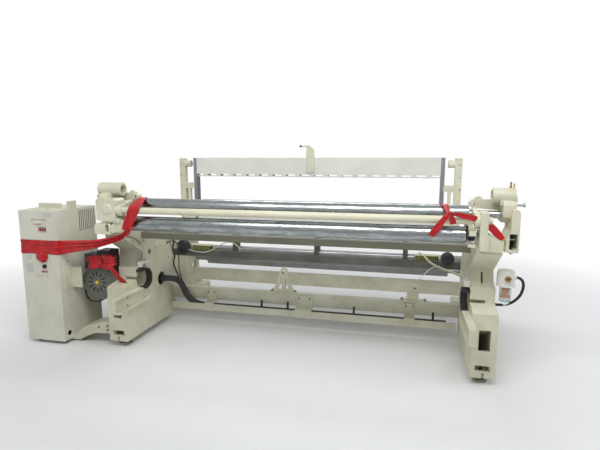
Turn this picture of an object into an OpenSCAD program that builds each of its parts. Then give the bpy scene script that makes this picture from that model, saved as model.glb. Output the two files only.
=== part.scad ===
// Air-jet weaving loom, seen mainly from its warp side.
// X runs across the loom, Y runs from the warp side to the cloth side, Z is up.
// The origin is on the floor, in the middle of the loom's overall length and depth.
// Inside the modules depth is counted from the front faces of the two arms.

/* [Side frames] */
// Distance between the middle planes of the two arms
arm_span = 2646; // [2300:1:3000]
// Width of each arm across the loom
arm_w = 156; // [140:1:180]
// Thickness of the outer web of a side frame
web_t = 40; // [25:1:50]
// Thickness of the inner wall of an arm
wall_t = 18; // [12:1:30]
// Height of the frame's underside above the floor
foot_h = 50; // [40:1:70]
// Height of the front shelf of an arm
shelf_z = 478; // [460:1:500]
// Height of the flat top that carries the back-rest bracket
deck_z = 905; // [885:1:925]
// Depth of a levelling foot behind the arm front
foot_in_y = 90; // [70:1:140]
// Distance between the warp-side and the cloth-side feet
foot_pitch_y = 1380; // [1370:1:1390]
// Radius of a levelling foot's pad
foot_r = 45; // [30:1:60]

/* [Beam rails and seats] */
// Height of the rail's running face
rail_top_z = 440; // [430:1:450]
// Height of the rail's side
rail_h = 124; // [90:1:130]
// Thickness of the rail across the loom
rail_t = 45; // [35:1:60]
// How far the rail stands out in front of the arm
rail_out = 200; // [120:1:260]
// Depth of the beam seat's middle behind the arm front
seat_y = 228; // [224:1:234]
// Inner radius of the beam seat
seat_r = 66; // [60:1:68]
// Thickness of the seat's black liner
seat_lining = 18; // [12:1:20]
// Length of the swinging beam lock's arm
lock_len = 96; // [80:1:110]

/* [Stays] */
// Depth of the rear stay behind the arm front
stay_y = 720; // [690:1:740]
// Height of the rear stay's underside
stay_z = 195; // [185:1:205]
// Height of the rear stay's face
stay_h = 103; // [90:1:120]
// Depth of the rear stay's flanges
stay_d = 60; // [50:1:80]
// Plate thickness of the stays
plate_t = 12; // [8:1:14]
// Height of the conduit tray's lip
tray_h = 58; // [45:1:62]
// Radius of the black conduit
conduit_r = 27; // [20:1:30]

/* [Back rest] */
// Radius of the two back-rest rollers
roller_r = 55; // [50:1:58]
// Wall thickness of the roller shells
roller_wall = 6; // [4:1:12]
// Distance from an end of the upper roller's face to the frame
upper_end_gap = 45; // [40:1:50]
// Distance from an end of the lower roller's face to the frame
lower_end_gap = 67; // [55:1:95]
// Depth of the upper roller's axis
upper_y = 135; // [130:1:140]
// Height of the upper roller's axis
upper_z = 1099; // [1095:1:1105]
// Depth of the lower roller's axis
lower_y = 50; // [45:1:55]
// Height of the lower roller's axis
lower_z = 972; // [968:1:976]
// Depth of the cream cross tube's axis
tube_y = 0; // [-8:1:4]
// Height of the cream cross tube's axis
tube_z = 1074; // [1070:1:1078]
// Radius of the cream cross tube
tube_r = 24.5; // [22:0.5:26]
// Radius of the upper roller's journals
upper_journal_r = 25; // [22:1:26]
// Radius of the lower roller's journals
lower_journal_r = 20; // [16:1:24]
// Running clearance of a shaft in its bore
fit = 0.05; // [0.02:0.01:0.1]

/* [Healds and sley] */
// Depth of the first heald frame
heald_y = 936; // [930:1:945]
// Distance from one heald frame to the next
heald_pitch = 20; // [18:1:24]
// Thickness of a heald frame
heald_t = 12; // [8:1:14]
// Height of a heald frame's top edge
heald_top = 1459; // [1450:1:1470]
// Height of the white top slat
slat_h = 146; // [120:1:170]
// Height of a whole heald frame
heald_h = 600; // [560:1:640]
// Distance from a heald frame's end to the frame
heald_end_gap = 135; // [125:1:185]
// Stroke of a heald frame either way from the middle
heald_stroke = 35; // [20:1:40]
// Depth of the sley's rocking shaft
rock_y = 1235; // [1230:1:1245]
// Height of the sley's rocking shaft
rock_z = 560; // [540:1:580]
// Height of the reed
reed_h = 95; // [80:1:110]

/* [Cloth side] */
// Distance from the rocking shaft to the breast beam's middle
breast_gap = 325; // [320:1:335]
// Height of the breast beam's top
breast_z = 1010; // [1000:1:1020]
// Radius of the take-up roller
takeup_r = 80; // [70:1:84]
// Radius of the press roller
press_r = 34; // [30:1:36]
// Radius of the cloth roller
cloth_r = 55; // [45:1:70]

/* [Cabinet] */
// Width of the control cabinet
cab_w = 336; // [320:1:360]
// Depth of the control cabinet
cab_d = 452; // [440:1:470]
// Height of the control cabinet's body
cab_h = 1032; // [1000:1:1060]
// Gap between the cabinet and the outside of the left arm
cab_gap = 356; // [345:1:370]
// Height of the cabinet's feet
cab_foot = 28; // [24:1:34]
// Sheet thickness of the cabinet
sheet_t = 3; // [2:1:4]
// Thickness of the cabinet door
door_t = 14; // [10:1:20]

/* [Motor and filter] */
// Radius of the main motor's body
motor_r = 125; // [110:1:130]
// Length of the main motor with its fan cowl
motor_l = 330; // [300:1:360]
// Radius of the filter bowl
bowl_r = 36; // [30:1:42]
// Height of the filter bowl
bowl_h = 120; // [100:1:130]

/* [Hidden] */

$fn = 48;
x_in = arm_span / 2 - arm_w / 2;
x_out = x_in + arm_w;
x_web = x_out - web_t;
seat_z = rail_top_z + seat_r - 6;
liner_r = seat_r + seat_lining;
cream = [0.87, 0.87, 0.78];
dark = [0.12, 0.12, 0.12];
steel = [0.72, 0.73, 0.74];
chrome = [0.82, 0.83, 0.85];
white = [0.92, 0.93, 0.90];
red = [0.75, 0.10, 0.12];

// Middle of the overall length, between the door's hinge and the right stop pin, and of the overall depth
knuckle_r = 5;
pin_reach = 296;
mid_x = (x_in + pin_reach - x_out - cab_gap - cab_w - 2 * knuckle_r) / 2;
breast_y = rock_y + breast_gap;
breast_half = 62;
mid_y = (breast_y + breast_half - rail_out) / 2;
upper_len = 2 * (x_in - upper_end_gap);
lower_len = 2 * (x_in - lower_end_gap);
heald_half = x_in - heald_end_gap;
takeup_y = breast_y - 30;
apron_h = 150;
takeup_z = breast_z - apron_h - takeup_r - 8;
press_drop = 62;
nip = 0.5;
press_y = takeup_y - sqrt(pow(takeup_r + press_r + nip, 2) - press_drop * press_drop);
press_z = takeup_z - press_drop;
cloth_y = 1450;
cloth_z = 400;
front_stay_y = breast_y - 175;

// Moves widths counted from the arms' middle and depths counted from their fronts into the loom's own frame
module placed() translate([-mid_x, -mid_y, 0]) children();

// Draws its children on the right-hand side, or mirrored to the left
module side(s) placed() scale_side(s) children();
module scale_side(s) if (s > 0) children(); else mirror([1, 0, 0]) children();

// A solid that runs along X from x0 to x1, with its outline given in depth and height
module along_x(x0, x1) translate([x0, 0, 0]) rotate([90, 0, 90]) linear_extrude(x1 - x0) children();

// A cylinder along X, Y or Z between two coordinates
module bar_x(x0, x1, y, z, r) translate([x0, y, z]) rotate([0, 90, 0]) cylinder(h = x1 - x0, r = r);
module bar_y(y0, y1, x, z, r) translate([x, y0, z]) rotate([-90, 0, 0]) cylinder(h = y1 - y0, r = r);
module bar_z(z0, z1, x, y, r) translate([x, y, z0]) cylinder(h = z1 - z0, r = r);

// A box between two corners
module block(a, b) translate(a) cube(b - a);

// A flat rectangle with round corners, from corner a to corner b
module soft_rect(a, b, r) {
    translate([a[0] + r, a[1]]) square([b[0] - a[0] - 2 * r, b[1] - a[1]]);
    translate([a[0], a[1] + r]) square([b[0] - a[0], b[1] - a[1] - 2 * r]);
    for (x = [a[0] + r, b[0] - r], y = [a[1] + r, b[1] - r]) translate([x, y]) circle(r);
}

// A rectangle in the plane of the loom's width and height, pushed along Y
module along_y(y0, y1) translate([0, y1, 0]) rotate([90, 0, 0]) linear_extrude(y1 - y0) children();

// SIDE FRAMES

neck_z = 705;
step_y = 158;
step_z = 603;
back_y = 740;
rear_foot_y = foot_in_y + foot_pitch_y;
frame_end_y = rear_foot_y + 90;
arm_outline = [[0, foot_h], [0, shelf_z], [step_y, shelf_z + 27], [step_y, step_z], [step_y + 87, step_z + 29],
               [step_y + 112, neck_z], [20, deck_z - 43], [20, deck_z], [470, deck_z], [613, 800], [727, 690],
               [back_y, 640], [back_y, foot_h]];
rear_outline = [[back_y - 60, foot_h], [back_y + 90, foot_h], [back_y + 160, 150], [1290, 150],
                [1350, foot_h], [frame_end_y, foot_h], [frame_end_y, 130], [frame_end_y - 60, 300],
                [frame_end_y - 60, takeup_z - 140], [breast_y + breast_half, takeup_z - 40],
                [breast_y + breast_half, breast_z - 60], [breast_y - 130, breast_z - 60],
                [1250, 800], [727, 690], [back_y - 60, 640]];

// The profile plate with its window, the hollow arm box and the cut-outs of one side frame
module side_frame() {
    difference() {
        union() {
            along_x(x_web, x_out) polygon(rear_outline);
            along_x(x_in, x_out) polygon(arm_outline);
            along_x(x_in + 20, x_out) polygon([[1350, foot_h], [frame_end_y, foot_h], [frame_end_y, 120], [1380, 120]]);
        }
        arm_hollow();
        arm_front_windows();
        inner_face_cuts();
        along_x(x_web - 1, x_out + 1) soft_rect([860, 240], [1240, 640], 60);
        bar_x(x_web - 1, x_out + 1, front_stay_y + 10, 330, 50);
        bar_x(x_web - 1, x_out + 1, rock_y, rock_z, 30 + fit);
        bar_x(x_web - 1, x_out + 1, takeup_y, takeup_z, 28 + fit);
        bar_x(x_web - 1, x_out + 1, press_y, press_z, 14 + fit);
        bar_x(x_web - 1, x_out + 1, cloth_y, cloth_z, 24 + fit);
        bar_x(x_in - 1, x_in + 30, lock_y, lock_z, lock_pin_r + fit);
        for (y = [foot_in_y, rear_foot_y]) bar_z(foot_h - 1, foot_h + 40, foot_x, y, stud_r);
    }
}
foot_x = arm_span / 2;
stud_r = 12;

// Hollow inside of the arm: a lower, a middle and an upper chamber that open into each other
module arm_hollow() {
    block([x_in + wall_t, wall_t, foot_h + wall_t], [x_web, back_y - wall_t, shelf_z - 180]);
    block([x_in + wall_t, wall_t, shelf_z - 181], [x_web, 150, shelf_z - wall_t]);
    block([x_in + wall_t, 320, shelf_z - 181], [x_web, back_y - wall_t, 640]);
    block([x_in + wall_t, 300, 639], [x_web, 560, deck_z - 60]);
}

// Window, slot and notch in the arm's front face
module arm_front_windows() {
    along_y(-1, wall_t + 1) soft_rect([x_in + 44, 232], [x_in + 115, 372], 5);
    along_y(-1, wall_t + 1) soft_rect([x_in + 30, 98], [x_in + 122, 135], 4);
    block([x_in + 73, -1, foot_h - 1], [x_in + 87, wall_t + 1, 86]);
}

// Seat bore, conduit hole, dished recess and tapped holes on the face towards the middle of the loom
module inner_face_cuts() {
    bar_x(x_in - 1, x_in + 95, seat_y, seat_z, seat_r + 8);
    bar_x(x_in - 1, x_in + wall_t + 1, 525, 420, 58);
    along_x(x_in - 1, x_in + 8) soft_rect([415, 185], [545, 355], 60);
    for (p = [[271, 796], [364, 690], [458, 702], [539, 704], [665, 580], [686, 305]])
        bar_x(x_in - 1, x_in + wall_t + 1, p[0], p[1], p[0] == 364 ? 24 : 10);
    along_x(x_in - 1, x_in + 6) polygon([[345, 655], [420, 600], [560, 560], [700, 520], [700, 640], [620, 770],
                                        [560, 850], [345, 850]]);
    block([x_in + 75, step_y + 60, step_z - 5], [x_in + 88, 300, neck_z - 18]);
}

// The left frame has a turned ring groove round the let-off gear case on its inner face
module side_frame_left() color(cream) side(-1) difference() {
    side_frame();
    difference() {
        bar_x(x_in - 1, x_in + 4, case_y, case_z, case_r);
        bar_x(x_in - 2, x_in + 5, case_y, case_z, case_r - 8);
    }
}
module side_frame_right() color(cream) side(1) side_frame();

// Levelling feet: a pad, a threaded stud and a lock nut under each corner of the frames
module levelling_foot() {
    cylinder(h = 14, r = foot_r);
    translate([0, 0, 14]) cylinder(h = 10, r1 = foot_r, r2 = 20);
    cylinder(h = foot_h + 36, r = stud_r - 0.3);
    translate([0, 0, foot_h - 16]) cylinder(h = 16, r = 20, $fn = 6);
}
module levelling_feet() color(steel)
    for (s = [-1, 1], y = [foot_in_y, rear_foot_y]) placed() translate([s * foot_x, y, 0]) levelling_foot();

// BEAM RAILS AND SEATS

rail_end_y = 293;
rail_bottom_z = rail_top_z - rail_h;
module rail_outline(inset) {
    polygon([[-rail_out + inset * 2, rail_top_z - inset], [rail_end_y - 70, rail_top_z - inset],
             [rail_end_y - inset, rail_top_z - 55], [rail_end_y - 10 - inset, rail_bottom_z + 30],
             [rail_end_y - 48 - inset / 2, rail_bottom_z + inset], [-rail_out + 56, rail_bottom_z + inset],
             [-rail_out + inset * 2, rail_bottom_z + 30 + inset / 2]]);
}
module beam_rail() difference() {
    along_x(x_in - rail_t, x_in) rail_outline(0);
    along_x(x_in - rail_t - 1, x_in - 22) rail_outline(13);
    bar_x(x_in - rail_t - 1, x_in + 1, seat_y, seat_z, liner_r + 0.3);
    for (p = [[-7, 409], [-10, 350], [218, 350]]) bar_x(x_in - rail_t - 1, x_in - 10, p[0], p[1], 9);
    along_x(x_in - rail_t - 1, x_in - 10) soft_rect([-160, 352], [-148, 376], 5.9);
}
module beam_rail_left() color(cream) side(-1) beam_rail();
module beam_rail_right() color(cream) side(1) beam_rail();

// Black liner of a beam seat: a half ring that is open towards the warp side, with a lip above
module seat_liner() along_x(x_in - rail_t, x_in) {
    difference() {
        translate([seat_y, seat_z]) circle(liner_r);
        translate([seat_y, seat_z]) circle(seat_r);
        translate([seat_y - 200, seat_z - 200]) square([164, 400]);
        translate([seat_y - 200, seat_z - liner_r + 22]) square([200, 2 * liner_r - 40]);
    }
    translate([seat_y - 76, seat_z + seat_r]) square([76, seat_lining]);
}
module seat_liners() color(dark) for (s = [-1, 1]) side(s) seat_liner();

// Swinging lock that drops in front of the beam journal
lock_y = seat_y + 40;
lock_z = seat_z + liner_r + 34;
lock_eye_r = 24;
lock_pin_r = 10;
module beam_lock() {
    difference() {
        union() {
            bar_x(x_in - rail_t + 4, x_in - 3, lock_y, lock_z, lock_eye_r);
            block([x_in - rail_t + 4, lock_y - lock_len, lock_z - 14], [x_in - 3, lock_y, lock_z + lock_eye_r]);
        }
        translate([0, 0, -1]) block([x_in - rail_t + 3, lock_y - lock_len + 16, lock_z - 14], [x_in - 12, lock_y - 34, lock_z + 8]);
    }
    bar_x(x_in - 4, x_in + 28, lock_y, lock_z, lock_pin_r);
    bar_x(x_in - rail_t - 4, x_in - rail_t + 5, lock_y, lock_z, 15);
}
module beam_lock_left() color(white) side(-1) beam_lock();
module beam_lock_right() color(white) side(1) beam_lock();
// STAYS

stay_top = stay_z + stay_h;
module rear_stay() color(cream) placed() difference() {
    block([-x_in, stay_y, stay_z], [x_in, stay_y + stay_d, stay_top]);
    block([-x_in + 30, stay_y + plate_t, stay_z + plate_t], [x_in - 30, stay_y + stay_d + 1, stay_top - plate_t]);
}
tray_y = stay_y - 68;
tray_z = stay_z - 80;
module conduit_tray() color(cream) placed() {
    block([-x_in + 22, tray_y, tray_z], [x_in - 22, tray_y + 6, tray_z + tray_h]);
    block([-x_in + 22, tray_y, tray_z], [x_in - 22, stay_y + stay_d, tray_z + 6]);
}
bracket_xs = [383 - x_in, -8, x_in - 379];
module stay_bracket(w) {
    block([-w / 2, tray_y - 10, tray_z], [w / 2, tray_y - 0.3, tray_z + tray_h + 12]);
    block([-w / 2, tray_y - 10, tray_z + tray_h + 3], [w / 2, stay_y - 0.3, tray_z + tray_h + 12]);
    block([-w / 2, stay_y - 12, tray_z + tray_h + 3], [w / 2, stay_y, stay_top - 8]);
    for (x = [-w / 4, w / 4]) bar_y(tray_y - 18, tray_y - 8, x, tray_z + 30, 8);
}
module stay_brackets() color(cream)
    for (x = bracket_xs) placed() translate([x, 0, 0]) stay_bracket(x == bracket_xs[1] ? 140 : 84);

pillar_left_x = -196;
module bearing_pillar_left() color(cream) placed() difference() {
    translate([pillar_left_x, 0, 0]) {
        along_y(stay_y, stay_y + 22)
            polygon([[-100, stay_top], [-24, 500], [-12, 520], [12, 520], [24, 500], [92, stay_top]]);
        block([-123, stay_y - 8, stay_top], [105, stay_y + stay_d, stay_top + 12]);
        block([-10, stay_y + 21, stay_top], [10, stay_y + 50, 450]);
        bar_y(stay_y - 8, stay_y + 30, 0, 486, 32);
    }
    bar_y(stay_y - 20, stay_y + 60, pillar_left_x, 486, 17);
    along_y(stay_y - 1, stay_y + 30)
        polygon([[pillar_left_x - 50, 330], [pillar_left_x - 16, 440], [pillar_left_x - 16, 330]]);
    along_y(stay_y - 1, stay_y + 30)
        polygon([[pillar_left_x + 46, 330], [pillar_left_x + 16, 440], [pillar_left_x + 16, 330]]);
}
pillar_right_x = x_in - 355;
module bearing_pillar_right() color(cream) placed() difference() {
    union() {
        block([pillar_right_x - 50, stay_y + 6, stay_top], [pillar_right_x + 45, stay_y + 36, 468]);
        block([pillar_right_x - 101, stay_y - 8, stay_top], [pillar_right_x + 111, stay_y + stay_d, stay_top + 12]);
        bar_y(stay_y - 16, stay_y + 40, pillar_right_x + 13, 425, 36);
    }
    bar_y(stay_y - 30, stay_y + 60, pillar_right_x + 13, 425, 15);
}

// Conduit from the left frame's hole down to the tray and along it
conduit_z = tray_z + 6 + conduit_r + 0.3;
conduit_y = stay_y - 31;
clip_t = 3;
conduit_path = [[-1262, 525, 420], [-1215, 530, 420], [-1172, 560, 414], [-1145, 608, 392], [-1128, 650, 350],
                [-1118, 678, 296], [-1100, 686, 245], [-1068, 686, 202], [-1022, 687, 172], [-975, 688, 156], [-925, conduit_y, conduit_z + 1.4],
                [-860, conduit_y, conduit_z + 0.2], [-400, conduit_y, conduit_z], [0, conduit_y, conduit_z],
                [400, conduit_y, conduit_z], [860, conduit_y, conduit_z], [x_in - 95, conduit_y, conduit_z]];

function cat_point(p, i, t) =
    let (n = len(p) - 1, a = p[max(i - 1, 0)], b = p[i], c = p[i + 1], d = p[min(i + 2, n)])
    0.5 * (2 * b + (c - a) * t + (2 * a - 5 * b + 4 * c - d) * t * t + (3 * b - a - 3 * c + d) * t * t * t);
function smooth_path(p, steps) =
    concat([for (i = [0 : len(p) - 2], k = [0 : steps - 1]) cat_point(p, i, k / steps)], [p[len(p) - 1]]);
function unit(v) = v / max(norm(v), 0.000001);
function path_dir(q, i) = unit(q[min(i + 1, len(q) - 1)] - q[max(i - 1, 0)]);

// A closed tube swept along a path, with a fixed side vector that keeps the rings from twisting
module swept_tube(q, r, sides, ref) {
    n = len(q);
    ring = [for (i = [0 : n - 1])
        let (d = path_dir(q, i), u = unit(cross(d, ref)), v = cross(u, d))
        for (k = [0 : sides - 1]) q[i] + r * (cos(360 * k / sides) * u + sin(360 * k / sides) * v)];
    wall = [for (i = [0 : n - 2], k = [0 : sides - 1])
        let (a = i * sides + k, b = i * sides + (k + 1) % sides) [a, a + sides, b + sides, b]];
    polyhedron(points = ring, faces = concat(wall, [[for (k = [0 : sides - 1]) k]],
               [[for (k = [sides - 1 : -1 : 0]) (n - 1) * sides + k]]), convexity = 4);
}
module conduit() color(dark) placed() swept_tube(smooth_path(conduit_path, 4), conduit_r, 10, [0.2, 0.9, 0.35]);

clip_xs = [-394, -158, 415, x_in - 193];
module conduit_clips() color(dark) for (x = clip_xs) placed() {
    difference() {
        bar_x(x - 9, x + 9, conduit_y, conduit_z, conduit_r + clip_t);
        bar_x(x - 10, x + 10, conduit_y, conduit_z, conduit_r + 0.3);
        block([x - 10, conduit_y - 60, tray_z - 30], [x + 10, conduit_y + 60, tray_z + 6.3]);
    }
    block([x - 9, conduit_y + conduit_r + 0.6, conduit_z - 8], [x + 9, stay_y - 0.3, conduit_z + 8]);
    block([x - 9, stay_y - 3, conduit_z - 8], [x + 9, stay_y - 0.3, stay_z + 30]);
}

// BACK REST

post_x0 = x_in + 16;
post_x1 = x_in + 88;
outer_x0 = x_in + 127;
outer_x1 = x_in + 226;
plate_x1 = x_in + 258;
eye_y = 149;
eye_z = 1216;
eye_r = 52;
eye_bore_r = 33;
eye_x0 = x_in + 98;
eye_x1 = x_in + 133;

// One casting: a post for the tube and the lower roller, an outer housing, an eye and a clamp on top
module back_rest_bracket() difference() {
    union() {
        along_x(post_x0, post_x1)
            polygon([[-42, deck_z - 25], [19.7, deck_z - 25], [19.7, deck_z], [160, deck_z], [160, 935], [100, 985],
                     [92, 1040], [40, 1110], [30, 1130], [-30, 1130], [-42, 1112]]);
        along_x(post_x0 + 60, outer_x1 - 64) polygon([[-20, deck_z], [300, deck_z], [300, 925], [60, 975], [-20, 975]]);
        along_x(outer_x0, outer_x1) polygon([[60, 1085], [215, 1085], [235, 1110], [235, 1190], [205, 1227],
                                             [110, 1227], [60, 1170]]);
        along_x(outer_x0 + 22, plate_x1) outer_plate();
        along_x(outer_x0 - 10, outer_x1 + 8) soft_rect([92, 1226], [206, 1276], 10);
        bar_x(eye_x0, eye_x1, eye_y, eye_z, eye_r);
        translate([0, 0, 0]) guide_arm();
    }
    bar_x(post_x0 - 1, post_x1 + 1, tube_y, tube_z, tube_r + fit);
    bar_x(post_x0 - 1, post_x1 + 1, lower_y, lower_z, lower_journal_r + fit);
    bar_x(outer_x0 - 11, outer_x0 + 40, upper_y, upper_z, upper_journal_r + 14);
    bar_x(eye_x0 - 1, eye_x1 + 1, eye_y, eye_z, eye_bore_r);
    along_y(20, 400) soft_rect([outer_x0 + 70, 906], [plate_x1 - 14, 986], 8);
    block([outer_x0 - 12, 144, 1252], [outer_x1 + 9, 150, 1277]);
    block([outer_x0, 0, 870], [x_out + 0.4, 300, deck_z]);
}
module outer_plate() difference() {
    polygon([[20, 880], [230, 880], [260, 930], [240, 1110], [200, 1130], [60, 1130], [20, 1100]]);
    translate([upper_y, upper_z]) circle(4);
}
// Short arm with an eyed end that points to the middle of the loom
module guide_arm() difference() {
    union() {
        block([x_in - 20, 196, 1142], [eye_x1, 236, 1196]);
        bar_y(196, 236, x_in - 20, 1169, 27);
    }
    bar_y(190, 240, x_in - 20, 1169, 9);
}
module back_rest_bracket_left() color(cream) side(-1) back_rest_bracket();
module back_rest_bracket_right() color(cream) side(1) back_rest_bracket();

// Cross tube with the two easing levers that carry the upper roller
lever_x0 = x_in - 22;
lever_x1 = x_in + 8;
module easing_lever() difference() {
    union() {
        bar_x(lever_x0, lever_x1, tube_y, tube_z, tube_r + 17);
        bar_x(lever_x0, lever_x1, upper_y, upper_z, upper_journal_r + 17);
        along_x(lever_x0, lever_x1)
            polygon([[tube_y - 4, tube_z + 36], [upper_y - 4, upper_z + 36], [upper_y + 4, upper_z - 36], [tube_y + 30, tube_z - 20]]);
    }
    bar_x(lever_x0 - 1, lever_x1 + 1, upper_y, upper_z, upper_journal_r + fit);
}
module easing_levers() color(cream) placed() {
    bar_x(-post_x1 + 6, post_x1 - 6, tube_y, tube_z, tube_r);
    for (s = [-1, 1]) scale_side(s) easing_lever();
}

// Roller: a shell with pressed-in end plugs and turned journals
module roller(len, r, journal_r, y, z, end_x) difference() {
    union() {
        bar_x(-len / 2, len / 2, y, z, r);
        bar_x(-end_x, end_x, y, z, journal_r);
    }
    bar_x(-len / 2 + 30, len / 2 - 30, y, z, r - roller_wall);
}
module upper_roller() color(chrome) placed() roller(upper_len, roller_r, upper_journal_r, upper_y, upper_z, x_in + 150);
module lower_roller() color(chrome) placed() roller(lower_len, roller_r, lower_journal_r, lower_y, lower_z, post_x1 - 8);

// Dark cross beam behind the rollers
module cross_beam() color([0.55, 0.55, 0.45]) placed() difference() {
    block([-x_in, 250, deck_z - 85], [x_in, 310, deck_z - 37]);
    block([-x_in + 40, 256, deck_z - 79], [x_in - 40, 311, deck_z - 43]);
}

// HEALD FRAMES

stay_w = 30;
tab_pitch = 124;
module heald_frame(i) {
    y0 = heald_y + (i - 1) * heald_pitch;
    top = heald_top;
    slat_x = heald_half - stay_w;
    color(white) placed() {
        block([-slat_x - 2, y0, top - slat_h], [slat_x + 2, y0 + heald_t, top]);
        for (k = [-8 : 8]) block([k * tab_pitch - 22, y0 + 2, top - slat_h - 16],
                                 [k * tab_pitch + 22, y0 + heald_t - 2, top - slat_h]);
        block([-slat_x, y0 + 4, top - slat_h - 22], [slat_x, y0 + heald_t - 4, top - slat_h - 15]);
        block([-slat_x - 2, y0, top - heald_h], [slat_x + 2, y0 + heald_t, top - heald_h + 70]);
        for (s = [-1, 1]) scale_side(s)
            block([slat_x, y0, top - heald_h], [heald_half, y0 + heald_t, top]);
    }
}
module heald_frame_1() heald_frame(1);
module heald_frame_2() heald_frame(2);
module heald_frame_3() heald_frame(3);
module heald_frame_4() heald_frame(4);

// Cream hook on the middle of the first heald frame, with a black rubber tip
module frame_hook() color(cream) placed() {
    along_y(heald_y - 14, heald_y) {
        soft_rect([-42, heald_top - 128], [28, heald_top + 60], 12);
        polygon([[-42, heald_top + 20], [28, heald_top + 20], [28, heald_top + 66], [-20, heald_top + 108],
                 [-42, heald_top + 108]]);
    }
    bar_x(-100, -41, heald_y - 7, heald_top + 98, 7);
}

// Posts with comb slots that guide the heald frames at both sides
guide_x = heald_half + 4;
guide_span = 4 * heald_pitch + 6;
module heald_guide() {
    difference() {
        block([guide_x + 26, heald_y - 20, 790], [guide_x + 128, heald_y + guide_span + 14, 860]);
        block([guide_x + 60, heald_y - 21, 789], [guide_x + 90, heald_y - 4, 861]);
    }
    block([x_web - 30, heald_y + 10, 740], [x_web, heald_y + guide_span - 10, 860]);
    block([guide_x + 100, heald_y + 10, 790], [x_web - 29, heald_y + guide_span - 10, 830]);
    block([guide_x + 74, heald_y - 14, 855], [guide_x + 128, heald_y + 34, heald_top - 4]);
    bar_x(guide_x + 20, guide_x + 76, heald_y + 10, heald_top - 52, 30);
    for (z = [900, 1180]) difference() {
        block([guide_x - 12, heald_y - 12, z], [guide_x + 76, heald_y + guide_span, z + 50]);
        for (i = [0 : 3]) block([guide_x - 13, heald_y + i * heald_pitch - 0.3, z - 1],
                                [guide_x + 1, heald_y + i * heald_pitch + heald_t + 0.3, z + 51]);
    }
    block([guide_x + 26, heald_y - 12, 855], [guide_x + 50, heald_y + 20, 1230]);
}
module heald_guides() color(cream) for (s = [-1, 1]) side(s) heald_guide();

// SLEY

sword_top = 930;
sword_xs = [-820, 0, 820];
module rocking_shaft() color(steel) placed() {
    bar_x(-x_out + 4, x_out - 4, rock_y, rock_z, 30);
}
module sley_beam() color([0.6, 0.62, 0.6]) placed() difference() {
    union() {
        for (x = sword_xs) along_x(x - 22, x + 22)
            polygon([[rock_y - 52, rock_z], [rock_y - 36, rock_z - 40], [rock_y + 36, rock_z - 40], [rock_y + 52, rock_z],
                     [rock_y + 34, sword_top], [rock_y - 20, sword_top]]);
        block([-x_in + 60, rock_y - 34, sword_top], [x_in - 60, rock_y + 40, sword_top + 26]);
        block([-x_in + 60, rock_y + 8, sword_top + 25], [x_in - 60, rock_y + 40, sword_top + 46]);
    }
    bar_x(-x_in, x_in, rock_y, rock_z, 30);
}
reed_gap = 26;
module reed() color(steel) placed() difference() {
    block([-x_in + 90, rock_y - 12, sword_top + 26.2], [x_in - 90, rock_y + 4, sword_top + 26.2 + reed_h]);
    for (x = [-x_in + 110 : reed_gap : x_in - 120])
        block([x, rock_y - 13, sword_top + 40], [x + reed_gap / 2, rock_y + 5, sword_top + 12 + reed_h]);
}

// CLOTH SIDE

module front_stay() color(cream) placed() difference() {
    block([-x_web, front_stay_y, 180], [x_web, front_stay_y + 60, 180 + 2 * stay_d]);
    block([-x_web + 40, front_stay_y + plate_t, 180 + plate_t], [x_web - 40, front_stay_y + 61, 180 + 2 * stay_d - plate_t]);
}
module breast_beam() color(cream) placed() {
    along_x(-x_web, x_web) polygon([[breast_y - 60, breast_z - 70], [breast_y + 52, breast_z - 70],
        [breast_y + 60, breast_z - 40], [breast_y + 44, breast_z], [breast_y - 30, breast_z], [breast_y - 60, breast_z - 30]]);
    block([-x_web, breast_y + 30, breast_z - apron_h], [x_web, breast_y + 44, breast_z - 69]);
    for (s = [-1, 1]) scale_side(s)
        block([x_web - 1, breast_y - 56, breast_z - 60], [x_out, breast_y + 50, breast_z - 24]);
}
module takeup_roller() color([0.35, 0.36, 0.34]) placed()
    roller(2 * x_in - 60, takeup_r, 28, takeup_y, takeup_z, x_out - 4);
module press_roller() color(dark) placed() roller(2 * x_in - 60, press_r, 14, press_y, press_z, x_out - 4);
module cloth_roller() color(steel) placed() roller(2 * x_in - 60, cloth_r, 24, cloth_y, cloth_z, x_out - 4);

// CONTROL CABINET

cab_x1 = -(x_out + cab_gap);
cab_x0 = cab_x1 - cab_w;
cab_y0 = -65;
cab_y1 = cab_y0 + cab_d;
cab_z0 = cab_foot;
cab_z1 = cab_foot + cab_h;
module cabinet_body() color(white) placed() {
    cabinet_shell();
    for (z = hinge_zs) {
        for (k = [z - 15.3, z + 30.3]) {
            bar_z(k, k + 15, hinge_x, hinge_y, knuckle_r);
            block([hinge_x, hinge_y + 0.25, k], [cab_x0 + 1, hinge_y + knuckle_r, k + 15]);
        }
        bar_z(z - 8, z + 38, hinge_x, hinge_y, pin_r);
    }
}
module cabinet_shell() difference() {
    block([cab_x0, cab_y0 + door_t + 0.5, cab_z0], [cab_x1, cab_y1, cab_z1]);
    block([cab_x0 + sheet_t, cab_y0, cab_z0 + sheet_t], [cab_x1 - sheet_t, cab_y1 - sheet_t, cab_z1 - sheet_t]);
    for (k = [0 : 8]) translate([cab_x1 - sheet_t - 1, cab_y0 + 248 + 22 * k, cab_z1 - 190])
        cube([sheet_t + 2, 10, 170]);
    bar_x(cab_x1 - 10, cab_x1 + 1, cab_y0 + 56, cab_z0 + 56, 20);
    for (z = [299, 386, 653]) bar_x(cab_x1 - 10, cab_x1 + 1, cab_y0 + 86, z, 6);
}
panel_x = cab_x1 - 100;
hinge_x = cab_x0 - knuckle_r;
hinge_y = cab_y0 + door_t + 0.25;
hinge_zs = [cab_z0 + 170, cab_z1 - 200];
pin_r = 2;
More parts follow.
